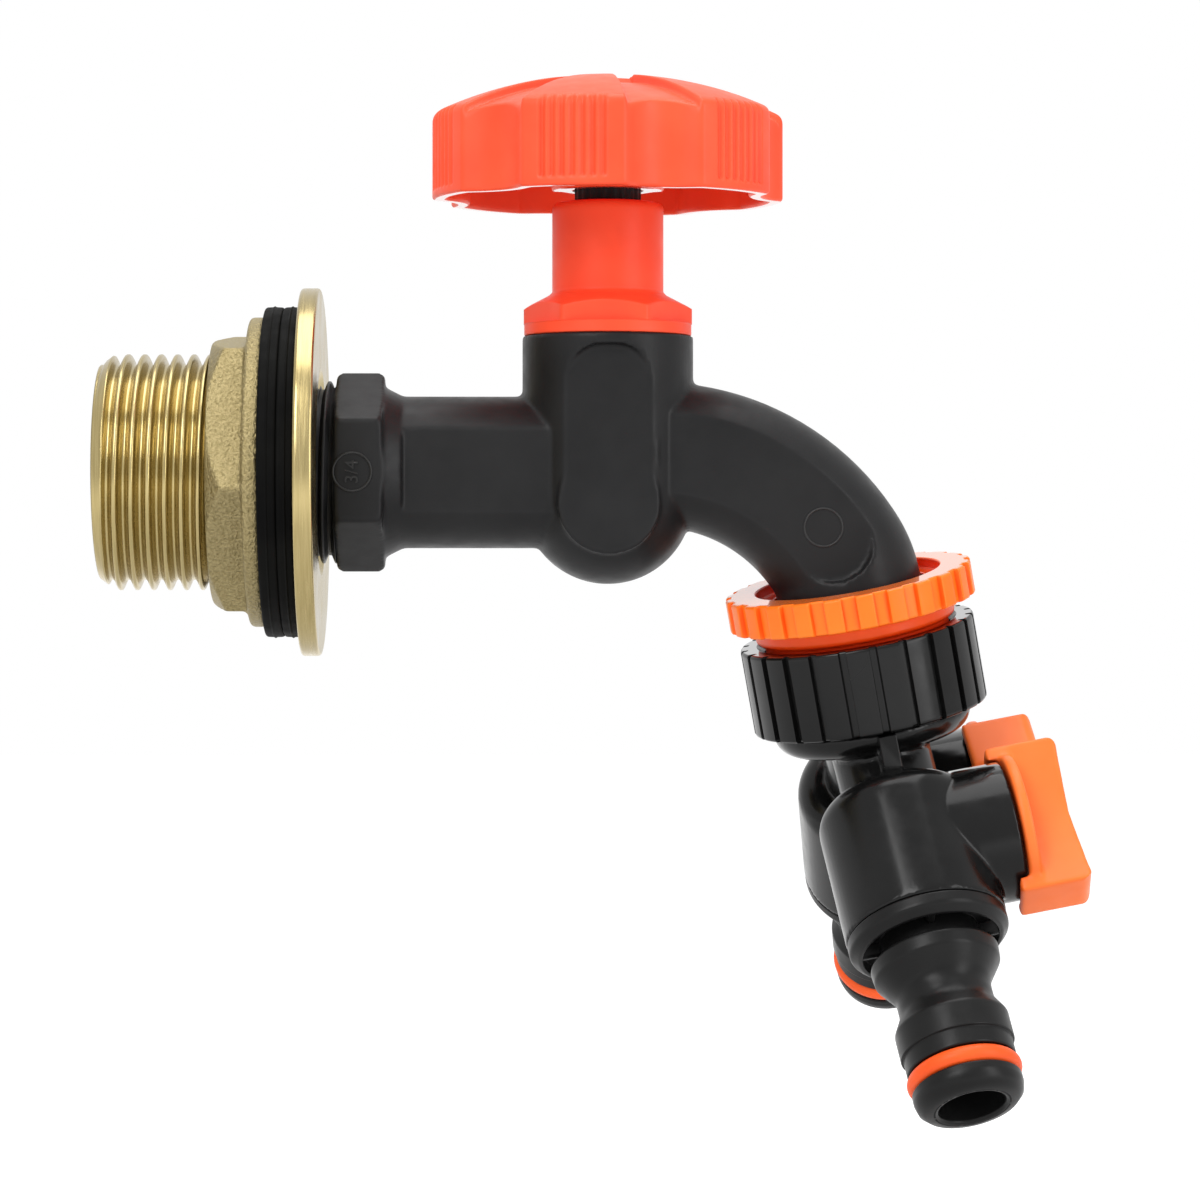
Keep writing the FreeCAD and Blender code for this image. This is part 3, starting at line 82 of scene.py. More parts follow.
leg_frames = {}
for side in SIDES:
    hinge = joints[f"{side}_lever_turn"]
    up_leg = -Vector(mounts[f"hose_nipple_{side}"]["axis"])
    leg_frames[side] = frame_of(hinge["axis"], up_leg, hinge["pos_m"])
lever_axis = Vector(joints["front_lever_turn"]["axis"])
front_up, rear_up = (leg_frames[side].to_3x3() @ Vector((0, 0, 1)) for side in SIDES)
group_up = (front_up + rear_up).normalized()
across = leg_frames["rear"].translation - leg_frames["front"].translation
leg_length = across.length / 2 / math.sin(front_up.angle(rear_up) / 2)
LEG_ROOT_DEPTH = 19.8
group_top = leg_frames["front"].translation + front_up * leg_length + group_up * LEG_ROOT_DEPTH * MM
# The outlet group's origin is on the reducer's top face with Z up, so its heights are minus depths.
group_frame = frame_of(lever_axis, group_up, group_top)
chamber_frame = Matrix.Translation(Vector(joints["handle_turn"]["pos_m"]) * Vector((1, 1, 0)))
inlet_frame = frame_of((0, 0, -1), (1, 0, 0), (0, 0, 0))
part_frame = Matrix.Identity(4)


# Meshes

def add_piece(name, mesh, material, body, replaced=(), crisp=None):
    """Link a mesh in metres as a piece on a body. Edges sharper than the crisp angle stay sharp."""
    mesh.materials.clear()
    mesh.materials.append(material)
    mesh.shade_smooth()
    if crisp is not None:
        mesh.set_sharp_from_angle(angle=math.radians(crisp))
    piece = bpy.data.objects.new(name, mesh)
    bpy.context.scene.collection.objects.link(piece)
    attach(piece, body)
    if replaced:
        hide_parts(*replaced)


def rounded(corners, steps=3):
    """Closed profile from (radius, height, fillet) corners, with an edge loop on each side of a fillet.

    Two fillets on one edge share its length in proportion to their radii."""
    default_fillet, straight, largest_share, support_share = 0.12, 0.05, 0.9, 0.5
    points = []
    count = len(corners)
    fillets = [corner[2] if len(corner) > 2 else default_fillet for corner in corners]
    for i in range(count):
        here = Vector(corners[i][:2])
        before = Vector(corners[i - 1][:2])
        after = Vector(corners[(i + 1) % count][:2])
        fillet = fillets[i]
        back, ahead = (before - here), (after - here)
        room = min(back.length * fillet / (fillet + fillets[i - 1]),
                   ahead.length * fillet / (fillet + fillets[(i + 1) % count]))
        back.normalize()
        ahead.normalize()
        corner_angle = back.angle(ahead)
        if math.pi - corner_angle < straight:
            points.append(here)
            continue
        tangent = min(fillet / math.tan(corner_angle / 2), room * largest_share)
        radius = tangent * math.tan(corner_angle / 2)
        centre = here + (back + ahead).normalized() * (radius / math.sin(corner_angle / 2))
        start, end = here + back * tangent, here + ahead * tangent
        support = min(support_share * tangent, room - tangent)
        points.append(start + back * support)
        first, last = start - centre, end - centre
        sweep = first.angle_signed(last)
        for step in range(steps + 1):
            turned = first.copy()
            turned.rotate(Matrix.Rotation(-sweep * step / steps, 2))
            points.append(centre + turned)
        points.append(end + ahead * support)
    return np.array([[point.x, point.y] for point in points])


def circle_section(radius, height, half_wide, half_high, count):
    """Round section of a ring, at this radius and height."""
    circle = np.linspace(0, TURN, count, endpoint=False)
    return np.stack([radius + half_wide * np.cos(circle), height + half_high * np.sin(circle)], axis=-1)


def lathe_mesh(name, profile, matrix, segments, shape=None):
    """Closed ring mesh: the profile turned about the frame's Z axis, then changed by shape(angle, r, z)."""
    angles = np.arange(segments) * TURN / segments
    rows = len(profile)
    radius = np.repeat(profile[:, :1], segments, axis=1)
    height = np.repeat(profile[:, 1:], segments, axis=1)
    angle = np.repeat(angles[None, :], rows, axis=0)
    if shape is not None:
        radius, height = shape(angle, radius, height)
    points = np.stack([radius * np.cos(angle), radius * np.sin(angle), height], axis=-1).reshape(-1, 3)
    ring = np.arange(rows)[:, None]
    step = np.arange(segments)[None, :]
    next_ring, next_step = (ring + 1) % rows, (step + 1) % segments
    faces = np.stack([ring * segments + step, next_ring * segments + step,
                      next_ring * segments + next_step, ring * segments + next_step], axis=-1)
    mesh = bpy.data.meshes.new(name)
    mesh.from_pydata(points.tolist(), [], faces.reshape(-1, 4).tolist())
    mesh.transform(scaled(matrix))
    outward(mesh)
    return mesh


def outward(mesh):
    """Turn a closed mesh's faces outward."""
    mesh.calc_loop_triangles()
    points = np.empty(len(mesh.vertices) * 3)
    mesh.vertices.foreach_get("co", points)
    points = points.reshape(-1, 3)
    triangles = np.array([triangle.vertices[:] for triangle in mesh.loop_triangles])
    a, b, c = points[triangles[:, 0]], points[triangles[:, 1]], points[triangles[:, 2]]
    if np.einsum("ij,ij->i", a, np.cross(b, c)).sum() < 0:
        mesh.flip_normals()


def evaluated_mesh(work):
    """Take an object's evaluated mesh and remove the object."""
    bpy.context.scene.collection.objects.link(work)
    bpy.context.view_layer.update()
    mesh = bpy.data.meshes.new_from_object(work.evaluated_get(bpy.context.evaluated_depsgraph_get()))
    bpy.data.objects.remove(work)
    return mesh


def softened_mesh(node, voxel, passes, keep, basis):
    """Copy of a CAD node with its edges softened in its own axes, and a share of its faces kept."""
    mesh = nodes[node].data.copy()
    mesh.transform(basis.inverted())
    work = bpy.data.objects.new(f"{node}_work", mesh)
    remesh = work.modifiers.new("remesh", "REMESH")
    remesh.mode = "VOXEL"
    remesh.voxel_size = voxel * MM
    smooth = work.modifiers.new("smooth", "SMOOTH")
    smooth.factor = 0.5
    smooth.iterations = passes
    decimate = work.modifiers.new("decimate", "DECIMATE")
    decimate.ratio = keep
    soft = evaluated_mesh(work)
    soft.transform(basis)
    soft.name = f"{node}_soft"
    return soft


def smooth_step(value):
    """Ease from zero to one as the value does."""
    value = np.clip(value, 0, 1)
    return value * value * (3 - 2 * value)


def bump_pulse(angle, count, half_width, edge):
    """One within half_width degrees of each of count evenly spaced angles, falling to zero over edge."""
    pitch = TURN / count
    away = np.abs((angle + pitch / 2) % pitch - pitch / 2)
    return 1 - smooth_step((away - math.radians(half_width)) / math.radians(edge) + 0.5)


def thread_wave(phase):
    """Pipe thread section from root 0 to crest 1, with round crests and roots."""
    flat = 0.1
    triangle = np.abs((phase % 1.0) * 2 - 1)
    return smooth_step((triangle - flat) / (1 - 2 * flat))


def ring_limits(angle, count, turn, distance, radius):
    """How far each ray runs from the axis before it meets one of a ring of upright cylinders."""
    pitch = TURN / count
    away = (angle - turn + pitch / 2) % pitch - pitch / 2
    inside = radius * radius - (distance * np.sin(away)) ** 2
    near = distance * np.cos(away) - np.sqrt(np.maximum(inside, 0))
    return np.where(inside > 0, near, np.inf)


def soft_min(a, b, blend):
    """Smaller of two radii, with the corner between them rounded."""
    close = np.maximum(blend - np.abs(a - b), 0) / blend
    return np.minimum(a, b) - close * close * blend / 4


# Materials

def new_material(name, colour, roughness, metallic=0.0):
    """Plain material, returned with its node tree and its shader."""
    material = bpy.data.materials.new(name)
    material.use_nodes = True
    shader = material.node_tree.nodes["Principled BSDF"]
    shader.inputs["Base Color"].default_value = (*colour, 1)
    shader.inputs["Roughness"].default_value = roughness
    shader.inputs["Metallic"].default_value = metallic
    return material, material.node_tree, shader


def noise(tree, scale, detail, stretch=(1, 1, 1)):
    """Noise in object space; scale is per metre."""
    place = tree.nodes.new("ShaderNodeTexCoord")
    mapping = tree.nodes.new("ShaderNodeMapping")
    mapping.inputs["Scale"].default_value = stretch
    texture = tree.nodes.new("ShaderNodeTexNoise")
    texture.inputs["Scale"].default_value = scale
    texture.inputs["Detail"].default_value = detail
    tree.links.new(place.outputs["Object"], mapping.inputs["Vector"])
    tree.links.new(mapping.outputs["Vector"], texture.inputs["Vector"])
    return texture.outputs["Fac"]


def ramp(tree, value, low, high, out_low, out_high):
    """Map a range of a value to another range, clamped."""
    node = tree.nodes.new("ShaderNodeMapRange")
    node.inputs["From Min"].default_value = low
    node.inputs["From Max"].default_value = high
    node.inputs["To Min"].default_value = out_low
    node.inputs["To Max"].default_value = out_high
    tree.links.new(value, node.inputs["Value"])
    return node.outputs["Result"]


def mix_colours(tree, factor, first, second):
    """Colour that goes from the first to the second as the factor goes from zero to one."""
    node = tree.nodes.new("ShaderNodeMix")
    node.data_type = "RGBA"
    node.inputs["A"].default_value = (*first, 1)
    node.inputs["B"].default_value = (*second, 1)
    tree.links.new(factor, node.inputs["Factor"])
    return node.outputs["Result"]


def product(tree, first, second):
    """Two values multiplied."""
    node = tree.nodes.new("ShaderNodeMath")
    node.operation = "MULTIPLY"
    tree.links.new(first, node.inputs[0])
    tree.links.new(second, node.inputs[1])
    return node.outputs[0]


def add_bump(tree, shader, height, strength, distance):
    """Raise the surface by a height pattern."""
    bump = tree.nodes.new("ShaderNodeBump")
    bump.inputs["Strength"].default_value = strength
    bump.inputs["Distance"].default_value = distance * MM
    tree.links.new(height, bump.inputs["Height"])
    tree.links.new(bump.outputs["Normal"], shader.inputs["Normal"])


def plastic(name, dark, light, rough, grain, bump, specular=0.25):
    """Moulded plastic: faint colour drift, uneven gloss and a fine surface grain."""
    drift_scale, gloss_scale, grain_depth = 90, 420, 0.05
    material, tree, shader = new_material(name, light, rough[1])
    shader.inputs["Specular IOR Level"].default_value = specular
    drift = ramp(tree, noise(tree, drift_scale, detail=3), 0.35, 0.65, 0, 1)
    tree.links.new(mix_colours(tree, drift, dark, light), shader.inputs["Base Color"])
    gloss = ramp(tree, noise(tree, gloss_scale, detail=5), 0.3, 0.7, *rough)
    tree.links.new(gloss, shader.inputs["Roughness"])
    add_bump(tree, shader, noise(tree, grain, detail=2), bump, grain_depth)
    return material


def metal(name, dark, light, rough, grain, stretch, bump, depth):
    """Metal with tool marks or casting grain, depending on the stretch of its noise."""
    material, tree, shader = new_material(name, light, rough[1], metallic=1.0)
    marks = noise(tree, grain, detail=6, stretch=stretch)
    shade = ramp(tree, marks, 0.3, 0.7, 0, 1)
    tree.links.new(mix_colours(tree, shade, dark, light), shader.inputs["Base Color"])
    tree.links.new(ramp(tree, marks, 0.3, 0.7, *rough), shader.inputs["Roughness"])
    add_bump(tree, shader, marks, bump, depth)
    return material


def polish_facing(material, axis, roughness, below=None):
    """Smooth the faces that look along an axis, below a height if one is given, as a flat mould does."""
    coat_roughness, height_edge = 0.03, 0.3
    tree = material.node_tree
    shader = tree.nodes["Principled BSDF"]
    geometry = tree.nodes.new("ShaderNodeNewGeometry")
    facing = tree.nodes.new("ShaderNodeVectorMath")
    facing.operation = "DOT_PRODUCT"
    facing.inputs[1].default_value = axis
    tree.links.new(geometry.outputs["Normal"], facing.inputs[0])
    polished = ramp(tree, facing.outputs["Value"], 0.9, 0.97, 0, 1)
    if below is not None:
        place = tree.nodes.new("ShaderNodeTexCoord")
        split = tree.nodes.new("ShaderNodeSeparateXYZ")
        tree.links.new(place.outputs["Object"], split.inputs["Vector"])
        low_enough = ramp(tree, split.outputs["Z"], below * MM, (below + height_edge) * MM, 1, 0)
        polished = product(tree, polished, low_enough)
    mix = tree.nodes.new("ShaderNodeMix")
    mix.inputs["B"].default_value = roughness
    tree.links.new(polished, mix.inputs["Factor"])
    tree.links.new(shader.inputs["Roughness"].links[0].from_socket, mix.inputs["A"])
    tree.links.new(mix.outputs["Result"], shader.inputs["Roughness"])
    shader.inputs["Coat Roughness"].default_value = coat_roughness
    tree.links.new(polished, shader.inputs["Coat Weight"])


def paint_shade_in_hollows(material, colour, reach):
    """Paint shade into the base colour: mix in a deeper colour where other faces crowd within a reach, as painted
    shade for plastic lit by its own bounced light.
    """
    tree = material.node_tree
    shader = tree.nodes["Principled BSDF"]
    hollow_shade = tree.nodes.new("ShaderNodeAmbientOcclusion")
    hollow_shade.inputs["Distance"].default_value = reach * MM
    mix = tree.nodes.new("ShaderNodeMix")
    mix.data_type = "RGBA"
    mix.inputs["A"].default_value = (*colour, 1)
    tree.links.new(ramp(tree, hollow_shade.outputs["AO"], 0.35, 0.85, 0, 1), mix.inputs["Factor"])
    tree.links.new(shader.inputs["Base Color"].links[0].from_socket, mix.inputs["B"])
    tree.links.new(mix.outputs["Result"], shader.inputs["Base Color"])


# Brass and steel
brass_turned = metal("brass_turned", dark=(0.36, 0.285, 0.125), light=(0.46, 0.37, 0.175),
                     rough=(0.18, 0.3), grain=4200, stretch=(1, 0.04, 0.04), bump=0.25, depth=0.02)
brass_cast = metal("brass_cast", dark=(0.20, 0.158, 0.070), light=(0.36, 0.295, 0.150),
                   rough=(0.36, 0.52), grain=2500, stretch=(1, 1, 1), bump=1.0, depth=0.3)
steel = metal("steel", dark=(0.42, 0.42, 0.43), light=(0.6, 0.6, 0.6),
              rough=(0.25, 0.4), grain=2600, stretch=(1, 1, 0.1), bump=0.2, depth=0.02)

# Blacks
rubber_black = plastic("rubber_black", dark=(0.002, 0.002, 0.002), light=(0.005, 0.005, 0.0045),
                       rough=(0.55, 0.7), grain=2600, bump=0.25, specular=0.05)
body_black = plastic("body_black", dark=(0.010, 0.010, 0.0105), light=(0.014, 0.014, 0.0145),
                     rough=(0.34, 0.46), grain=3800, bump=0.16, specular=0.16)
# The raised marks' colour is a little lighter than the body's: painted highlight for the light caught by their
# raised strokes
mark_black_painted_highlight = plastic("mark_black_painted_highlight", dark=(0.016, 0.016, 0.016), light=(0.024, 0.024, 0.024),
                     rough=(0.3, 0.4), grain=3800, bump=0.1)
gloss_black = plastic("gloss_black", dark=(0.004, 0.004, 0.004), light=(0.006, 0.006, 0.006),
                      rough=(0.14, 0.24), grain=900, bump=0.03, specular=0.22)
nipple_black = plastic("nipple_black", dark=(0.006, 0.006, 0.006), light=(0.008, 0.008, 0.008),
                       rough=(0.28, 0.4), grain=2600, bump=0.08, specular=0.18)
dark_plastic = plastic("dark_plastic", dark=(0.004, 0.004, 0.0045), light=(0.008, 0.008, 0.0085),
                       rough=(0.35, 0.5), grain=2600, bump=0.1, specular=0.2)

# Reds, oranges and white
handle_red = plastic("handle_red", dark=(0.90, 0.080, 0.028), light=(0.98, 0.098, 0.036),
                     rough=(0.36, 0.46), grain=2600, bump=0.06)
bonnet_red = plastic("bonnet_red", dark=(0.94, 0.070, 0.024), light=(1.0, 0.088, 0.032),
                     rough=(0.38, 0.48), grain=2600, bump=0.08)
reducer_orange = plastic("reducer_orange", dark=(0.92, 0.165, 0.008), light=(0.99, 0.200, 0.014),
                         rough=(0.3, 0.4), grain=2600, bump=0.05)
lever_orange = plastic("lever_orange", dark=(0.92, 0.165, 0.026), light=(0.99, 0.195, 0.036),
                       rough=(0.34, 0.44), grain=2600, bump=0.05)
ring_orange = plastic("ring_orange", dark=(0.88, 0.090, 0.010), light=(0.96, 0.115, 0.018),
                      rough=(0.4, 0.5), grain=2600, bump=0.08)
seat_white = plastic("seat_white", dark=(0.72, 0.72, 0.70), light=(0.8, 0.8, 0.78),
                     rough=(0.4, 0.5), grain=2600, bump=0.05)

polish_facing(handle_red, axis=(0, 0, -1), roughness=0.06, below=40.2)
polish_facing(reducer_orange, axis=group_up, roughness=0.1)
polish_facing(gloss_black, axis=group_up, roughness=0.06)
# Painted shade: deeper, redder base colour in the hollows under the handwheel, in the reducer's bead and round the
# levers
paint_shade_in_hollows(handle_red, colour=(0.98, 0.045, 0.012), reach=8)
paint_shade_in_hollows(reducer_orange, colour=(0.98, 0.045, 0.002), reach=5)
paint_shade_in_hollows(lever_orange, colour=(0.92, 0.12, 0.018), reach=4)


# Brass tank connector

def make_brass_spigot():
    """Spigot with a helical thread, a flange and a socket, turned about the inlet."""
    tail, thread_end, thread_r, depth, pitch, row_step = -25.9, 1.6, 16.62, 1.48, 2.309, 0.14
    lead, lead_slope = 1.6, 0.75
    flange_near, flange_far, flange_r, flange_round = 2.4, 5.1, 25.9, 0.45
    bore_r, socket_r, socket_floor, chamfer = 12.0, 13.2, -9.9, 1.4
    heights = np.arange(tail + 0.05, thread_end, row_step)
    thread = np.stack([np.full_like(heights, thread_r), heights], axis=-1)
    rest = rounded([
        (thread_r, flange_near, 0.1), (flange_r, flange_near, flange_round),
        (flange_r, flange_far, flange_round), (socket_r + chamfer, flange_far, 0.15),
        (socket_r, flange_far - chamfer, 0.1), (socket_r, socket_floor, 0.1), (bore_r, socket_floor, 0.1),
        (bore_r, tail, 0.3), (thread_r - lead, tail, 0.2),
    ])

    def cut_thread(angle, radius, height):
        crests = thread_wave(height / pitch + angle / TURN)
        cone = thread_r - lead + (height - tail) * lead_slope
        cut = np.minimum(thread_r - depth * (1 - crests), cone)
        threaded = np.arange(len(radius))[:, None] < len(thread)
        return np.where(threaded, cut, radius), height

    profile = np.concatenate([thread, rest])
    mesh = lathe_mesh("brass_spigot_turned", profile, inlet_frame, segments=160, shape=cut_thread)
    add_piece("brass_spigot_turned", mesh, brass_turned, "tap", ["brass_spigot"])


def make_backnut():
    """Back nut with softened cast edges."""
    mesh = softened_mesh("backnut", voxel=0.26, passes=5, keep=0.5, basis=part_frame)
    add_piece("backnut_cast", mesh, brass_cast, "tap", ["backnut"])


def make_rubber_washers():
    """Washers with a moulding lip at the middle of each rim."""
    hole_r, rim_r, rim_round = 16.82, 23.2, 0.35
    lip_foot_r, lip_r, lip_half = 23.25, 23.39, 0.2
    spans = {"outer_rubber_washer": (0.0, 2.4), "inner_rubber_washer": (-2.6, 0.0)}
    for node, (low, high) in spans.items():
        middle = (low + high) / 2
        profile = rounded([
            (hole_r, low, 0.1), (hole_r, high, 0.1), (rim_r, high, rim_round),
            (lip_foot_r, middle + lip_half, 0.1), (lip_r, middle, 0.05), (lip_foot_r, middle - lip_half, 0.1),
            (rim_r, low, rim_round),
        ])
        mesh = lathe_mesh(f"{node}_moulded", profile, inlet_frame, segments=160)
        add_piece(f"{node}_moulded", mesh, rubber_black, "tap", [node])


make_brass_spigot()
make_backnut()
make_rubber_washers()


# Tap body

def make_tap_body():
    """Body with softened edges."""
    mesh = softened_mesh("tap_body", voxel=0.34, passes=5, keep=0.36, basis=part_frame)
    add_piece("tap_body_moulded", mesh, body_black, "tap", ["tap_body"])


def make_inlet_thread():
    """Last turns of the inlet thread, seen between the flange and the collar."""
    core_r, root_r, crest_r, pitch, low, high = 11.3, 11.6, 12.85, 1.814, 5.0, 7.28
    heights = np.linspace(low, high, 40)
    outer = np.stack([np.full_like(heights, crest_r), heights], axis=-1)
    profile = np.concatenate([outer, [[core_r, high], [core_r, low]]])

    def cut_thread(angle, radius, height):
        turns = root_r + (crest_r - root_r) * thread_wave(height / pitch + angle / TURN)
        return np.where(radius > core_r, turns, radius), height

    mesh = lathe_mesh("inlet_thread_turns", profile, inlet_frame, segments=160, shape=cut_thread)
    add_piece("inlet_thread_turns", mesh, body_black, "tap")


def make_marks():
    """Raised ring round the thread's size number on the collar, and a bare ring on the flat of the spout."""
    spots = {"collar": Vector((9.95, -12.3, -0.28)) * MM, "spout": Vector((75.4, -8.6, -7.9)) * MM}
    ring_r, half_wide, half_high, number_size, number_high = 2.65, 0.16, 0.17, 2.6, 0.18
    out_of_wall = (0, -1, 0)
    section = circle_section(ring_r, 0, half_wide, half_high, count=12)
    for name, spot in spots.items():
        mark_frame = frame_of((1, 0, 0), out_of_wall, spot)
        mesh = lathe_mesh(f"{name}_ring_mark", section, mark_frame, segments=96)
        add_piece(f"{name}_ring_mark", mesh, mark_black_painted_highlight, "tap")
    number = bpy.data.curves.new("size_number", "FONT")
    number.body = "3/4"
    number.size = number_size
    number.extrude = number_high
    number.align_x, number.align_y = "CENTER", "CENTER"
    mesh = evaluated_mesh(bpy.data.objects.new("size_number_work", number))
    mesh.transform(scaled(frame_of((0, 0, 1), out_of_wall, spots["collar"])))
    add_piece("size_number", mesh, mark_black_painted_highlight, "tap")


make_tap_body()
make_inlet_thread()
make_marks()


# Distributor and levers

def make_distributor():
    """Two-way moulding with softened edges."""
    mesh = softened_mesh("distributor_body", voxel=0.36, passes=6, keep=0.45, basis=group_frame)
    add_piece("distributor_moulded", mesh, gloss_black, "tap", ["distributor_body"])


def make_ribs():
    """Upright webs that brace each barrel against the cup above it."""
    outline = [(11.6, -20.4), (15.7, -20.2), (16.5, -26.4), (12.5, -28.4)]
    half_thick, edge_round = 1.3, 0.18
    count = len(outline)
    walls = [(i, (i + 1) % count, count + (i + 1) % count, count + i) for i in range(count)]
    faces = [*walls, tuple(range(count)), tuple(range(count, 2 * count))]
    for side, way in zip(SIDES, (-1, 1)):
        points = [(x, way * out, height) for x in (-half_thick, half_thick) for out, height in outline]
        mesh = bpy.data.meshes.new(f"rib_{side}")
        mesh.from_pydata(points, [], faces)
        web = bmesh.new()
        web.from_mesh(mesh)
        bmesh.ops.bevel(web, geom=web.edges[:], offset=edge_round, segments=3, profile=0.5, affect="EDGES")
        bmesh.ops.recalc_face_normals(web, faces=web.faces[:])
        web.to_mesh(mesh)
        web.free()
        mesh.transform(scaled(group_frame))
        add_piece(f"rib_{side}", mesh, gloss_black, "tap", crisp=40)


def make_levers():
    """Levers with the outer corners of their wings rounded."""
    wing_top, wing_half, corner_r = 23.8, 11.5, 1.9
    for side in SIDES:
        mesh = softened_mesh(f"lever_{side}", voxel=0.26, passes=26, keep=0.7, basis=leg_frames[side])
        to_leg = scaled(leg_frames[side])
        mesh.transform(to_leg.inverted())
        for vertex in mesh.vertices:
            out = vertex.co.x - (wing_top - corner_r)
            along = abs(vertex.co.z) - (wing_half - corner_r)
            reach = math.hypot(out, along)
            if out > 0 and along > 0 and reach > corner_r:
                vertex.co.x = wing_top - corner_r + out * corner_r / reach
                vertex.co.z = math.copysign(wing_half - corner_r + along * corner_r / reach, vertex.co.z)
        mesh.transform(to_leg)
        add_piece(f"lever_{side}_moulded", mesh, lever_orange, f"{side}_lever", [f"lever_{side}"])


make_distributor()
make_ribs()
make_levers()


# Handwheel, bonnet and spindle

def make_handwheel():
    """Lobed handwheel: raised lobes with fine grip grooves on the rim, hollow underneath round its hub."""
    rim_r, wall, lobes, lobe_turn = 24.75, 2.0, 6, math.radians(17.6)
    bottom, rim_top, top, lip, shoulder = 38.3, 50.3, 55.9, 0.5, 1.1
    flute_r, flute_depth, flute_round = 8.3, 2.5, 0.9
    groove_step, groove_half, groove_depth, side_grooves = math.radians(3.3), math.radians(1.2), 0.46, 3
    groove_inner_r, groove_inner_fade, groove_foot, groove_foot_fade = 23.6, 0.9, 1.1, 0.4
    valley, valley_half, valley_edge, valley_foot = 1.2, math.radians(12.5), 0.5, 2
    dish, dish_r, dish_edge = 0.8, 6.2, 0.7
    recess_r, recess_floor, recess_top, screw_r = 4.2, 52.9, 54.75, 2.0
    ceiling, hub_r, hub_bottom, socket_r, socket_top = 47.6, 8.0, 39.7, 4.75, 49.55
    pitch = TURN / lobes
    flute_turn = lobe_turn + pitch / 2
    flute_distance = rim_r - flute_depth + flute_r
    crown_r = (rim_r ** 2 + (top - rim_top) ** 2) / (2 * (top - rim_top))

    # Each row has its radius, its height and how far inside the fluted wall it lies. Round rows have no wall.
    no_wall = math.inf
    rows = [(screw_r, recess_floor, no_wall), (recess_r - 0.1, recess_floor, no_wall),
            (recess_r, recess_floor + 0.1, no_wall), (recess_r, recess_top, no_wall)]
    crown_radii = np.concatenate([np.linspace(4.4, 22.0, 40), np.linspace(22.1, 23.7, 9)])
    for r in crown_radii:
        rows.append((r, top - crown_r + math.sqrt(crown_r ** 2 - r * r), 0))
    start, corner = Vector(rows[-1][:2]), Vector((rim_r, rim_top))
    end = Vector((rim_r, rim_top - shoulder))
    for step in np.linspace(0, 1, 8)[1:]:
        point = start * (1 - step) ** 2 + corner * 2 * step * (1 - step) + end * step ** 2
        rows.append((point.x, point.y, 0))
    side_heights = np.linspace(rim_top - 1.6, bottom + 1.8, 9)
    groove_ends = bottom + np.array([1.5, 1.3, 1.1, 0.8])
    for z in np.concatenate([side_heights, groove_ends]):
        rows.append((rim_r, z, 0))
    for step in np.linspace(0, math.pi / 2, 5):
        inward = lip - lip * math.cos(step)
        rows.append((rim_r - inward, bottom + lip - lip * math.sin(step), inward))
    for step in np.linspace(0, math.pi / 2, 5):
        inward = wall - lip + lip * math.sin(step)
        rows.append((rim_r - inward, bottom + lip - lip * math.cos(step), inward))
    cavity = [(0, bottom + 1.0), (0, 43.0), (0, ceiling - 0.8), (0.2, ceiling - 0.2), (0.8, ceiling)]
    rows += [(rim_r - wall - inward, z, wall) for inward, z in cavity]
    hub = [(hub_r + 1.0, ceiling), (hub_r + 0.2, ceiling - 0.1), (hub_r, ceiling - 0.6),
           (hub_r, hub_bottom + 0.5), (hub_r - 0.15, hub_bottom + 0.12), (hub_r - 0.5, hub_bottom),
           (socket_r + 0.45, hub_bottom), (socket_r + 0.1, hub_bottom + 0.04), (socket_r, hub_bottom + 0.2),
           (socket_r, socket_top), (screw_r, socket_top)]
    rows += [(r, z, no_wall) for r, z in hub]
    rows = np.array(rows)
    inset = rows[:, 2:]
    round_rows, outside = np.isinf(inset), inset < 0.01
    sink_start, sink_end = bottom + valley_foot, rim_top - shoulder
    sinks = np.clip((rows[:, 1:2] - sink_start) / (sink_end - sink_start), 0, 1) * outside

    def cut_lobes(angle, radius, height):
        wall_r = flute_r + np.where(round_rows, 0, inset)
        shaped = soft_min(radius, ring_limits(angle, lobes, flute_turn, flute_distance, wall_r), flute_round)
        from_lobe = (angle - lobe_turn + pitch / 2) % pitch - pitch / 2
        nearest = np.clip(np.round(from_lobe / groove_step), -side_grooves, side_grooves) * groove_step
        groove = np.clip(1 - (np.abs(from_lobe - nearest) / groove_half) ** 2, 0, 1)
        from_inside = np.clip((radius - groove_inner_r) / groove_inner_fade, 0, 1)
        from_below = np.clip((height - bottom - groove_foot) / groove_foot_fade, 0, 1)
        shaped = shaped - groove_depth * groove * from_inside * from_below * outside
        into_valley = (valley_half - (pitch / 2 - np.abs(from_lobe))) * shaped
        low = smooth_step(into_valley / valley_edge + 0.5)
        past_dish = smooth_step((shaped - dish_r) / dish_edge + 0.5)
        drop = np.maximum(valley * low * past_dish, dish * (1 - past_dish))
        return np.where(round_rows, radius, shaped), height - drop * sinks

    mesh = lathe_mesh("handwheel_moulded", rows[:, :2], chamber_frame, segments=720, shape=cut_lobes)
    add_piece("handwheel_moulded", mesh, handle_red, "handwheel", ["handwheel"])


